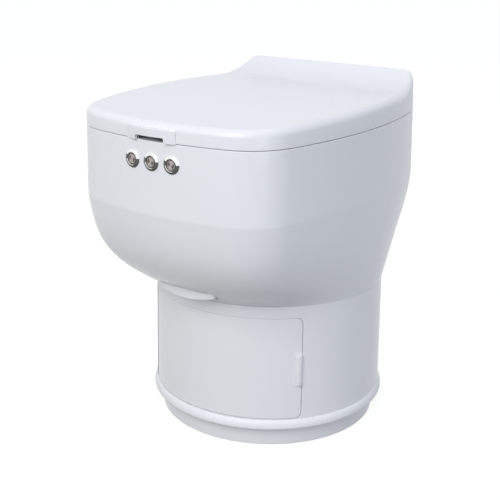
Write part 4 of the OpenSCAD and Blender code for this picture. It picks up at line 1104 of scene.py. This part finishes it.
slot_finish = {
    "frame_plastic": plain("satin_grey", (0.50, 0.52, 0.55), (0.60, 0.62, 0.65), 0.5),
    "bin_plastic": plain("bin_grey", (0.10, 0.11, 0.12), (0.14, 0.15, 0.17), 0.5),
    "dark_plastic": plain("dark_plastic", (0.02, 0.02, 0.022), (0.035, 0.035, 0.038), 0.45),
    "gear_plastic": plain("gear_nylon", (0.70, 0.68, 0.60), (0.80, 0.78, 0.70), 0.4),
    "film": plain("film_wrap", (0.40, 0.48, 0.58), (0.55, 0.62, 0.72), 0.25, 0.0, 30.0, 0.3),
    "rubber": plain("black_rubber", (0.02, 0.02, 0.02), (0.04, 0.04, 0.042), 0.7),
    "silicone": plain("red_silicone", (0.40, 0.06, 0.04), (0.50, 0.09, 0.06), 0.5),
    "steel": plain("bright_steel", (0.50, 0.50, 0.52), (0.62, 0.62, 0.64), 0.3, 1.0),
    "bezel_metal": plain("nut_metal", (0.70, 0.68, 0.66), (0.80, 0.78, 0.76), 0.25, 1.0),
    "cast_metal": plain("milled_aluminium", (0.55, 0.55, 0.57), (0.68, 0.68, 0.70), 0.4, 1.0),
    "heater": plain("plated_brass", (0.60, 0.44, 0.18), (0.70, 0.52, 0.24), 0.3, 1.0),
    "board": plain("board_lacquer", (0.02, 0.16, 0.07), (0.04, 0.22, 0.10), 0.35),
    "carbon": plain("carbon_grains", (0.01, 0.01, 0.01), (0.05, 0.05, 0.05), 0.85, 0.0, 300.0, 0.8),
    "white_plastic": pedestal_white,
}
for piece, slot in ((inlet, "dark_plastic"), (gap_shade_strip, "rubber")):
    dress(slot_finish[slot], piece)
for part in frame["record"]["subparts"]:
    node = frame["nodes"][part["node"]]
    if part["material_slot"] in slot_finish:
        dress(slot_finish[part["material_slot"]], node)
print("finishes on", len(frame["nodes"]), "packed nodes")

# %% [markdown]
# ## Floor and light
# The photograph has no room: the toilet stands on white. So the world and the floor show
# white to the camera and in reflections, through Light Path, and what lights the object
# stays gentle: a dim cool sky and a wide soft lamp at the front, which gives most of the
# light. A faint cool lamp at the right and one overhead lift the shadows, and a low one
# behind keeps the rear from going grey. The floor is still shaded, and carries the shadow.

# %% Floor, world and lamps
FLOOR_GLOW, SKY_LEVEL, SKY_COLOUR = 0.84, 0.62, (0.86, 0.908, 1.0)
LAMPS = (("front", (0.3, -2.6, 2.05), (0, 0, 0.3), 2.0, 49, (1.0, 0.975, 0.925)),
         ("side", (2.4, -1.5, 0.5), (0, 0, 0.15), 1.0, 9, (0.78, 0.87, 1.0)),
         ("rear", (-1.0, 2.8, 0.34), (0, 0, 0.3), 0.6, 16, (0.95, 0.97, 1.0)),
         ("overhead", (0.2, -0.2, 2.6), (0, 0, 0.3), 2.0, 3, (0.92, 0.95, 1.0)))


def seen_directly(tree):
    """One for camera, glossy and transmission rays, nought for light that bounced."""
    path = tree.nodes.new("ShaderNodeLightPath")
    total = path.outputs["Is Camera Ray"]
    for name in ("Is Glossy Ray", "Is Transmission Ray"):
        larger = tree.nodes.new("ShaderNodeMath")
        larger.operation = "MAXIMUM"
        tree.links.new(total, larger.inputs[0])
        tree.links.new(path.outputs[name], larger.inputs[1])
        total = larger.outputs[0]
    return total


floor_mesh = bmesh.new()
bmesh.ops.create_grid(floor_mesh, x_segments=1, y_segments=1, size=12.0)
floor = finish_mesh(floor_mesh, "floor")
floor_look = Finish("floor_white", Roughness=1.0, Specular_IOR_Level=0.0, Emission_Strength=1.0)
floor_look.shader.inputs["Base Color"].default_value = (0.28, 0.275, 0.26, 1)
glow = floor_look.between(Wire(floor_look, seen_directly(floor_look.tree)), (0, 0, 0), (FLOOR_GLOW,) * 3)
floor_look.feed("Emission Color", glow)
dress(floor_look.material, floor)

world = bpy.data.worlds.new("studio")
bpy.context.scene.world = world
world.use_nodes = True
sky = world.node_tree
dim = sky.nodes["Background"]
dim.inputs["Color"].default_value = (*SKY_COLOUR, 1)
dim.inputs["Strength"].default_value = SKY_LEVEL
white = sky.nodes.new("ShaderNodeBackground")
white.inputs["Color"].default_value = (1, 1, 1, 1)
white.inputs["Strength"].default_value = 1.0
choose = sky.nodes.new("ShaderNodeMixShader")
sky.links.new(seen_directly(sky), choose.inputs[0])
sky.links.new(dim.outputs[0], choose.inputs[1])
sky.links.new(white.outputs[0], choose.inputs[2])
sky.links.new(choose.outputs[0], sky.nodes["World Output"].inputs["Surface"])


def lamp(name, place, target, size, watts, colour):
    light = bpy.data.lights.new(name, "AREA")
    light.size, light.energy, light.color = size, watts, colour
    made = bpy.data.objects.new(name, light)
    bpy.context.collection.objects.link(made)
    made.location = place
    made.rotation_euler = (Vector(target) - Vector(place)).to_track_quat("-Z", "Y").to_euler()


for spec in LAMPS:
    lamp(*spec)
print("floor, world and", len(LAMPS), "lamps set")
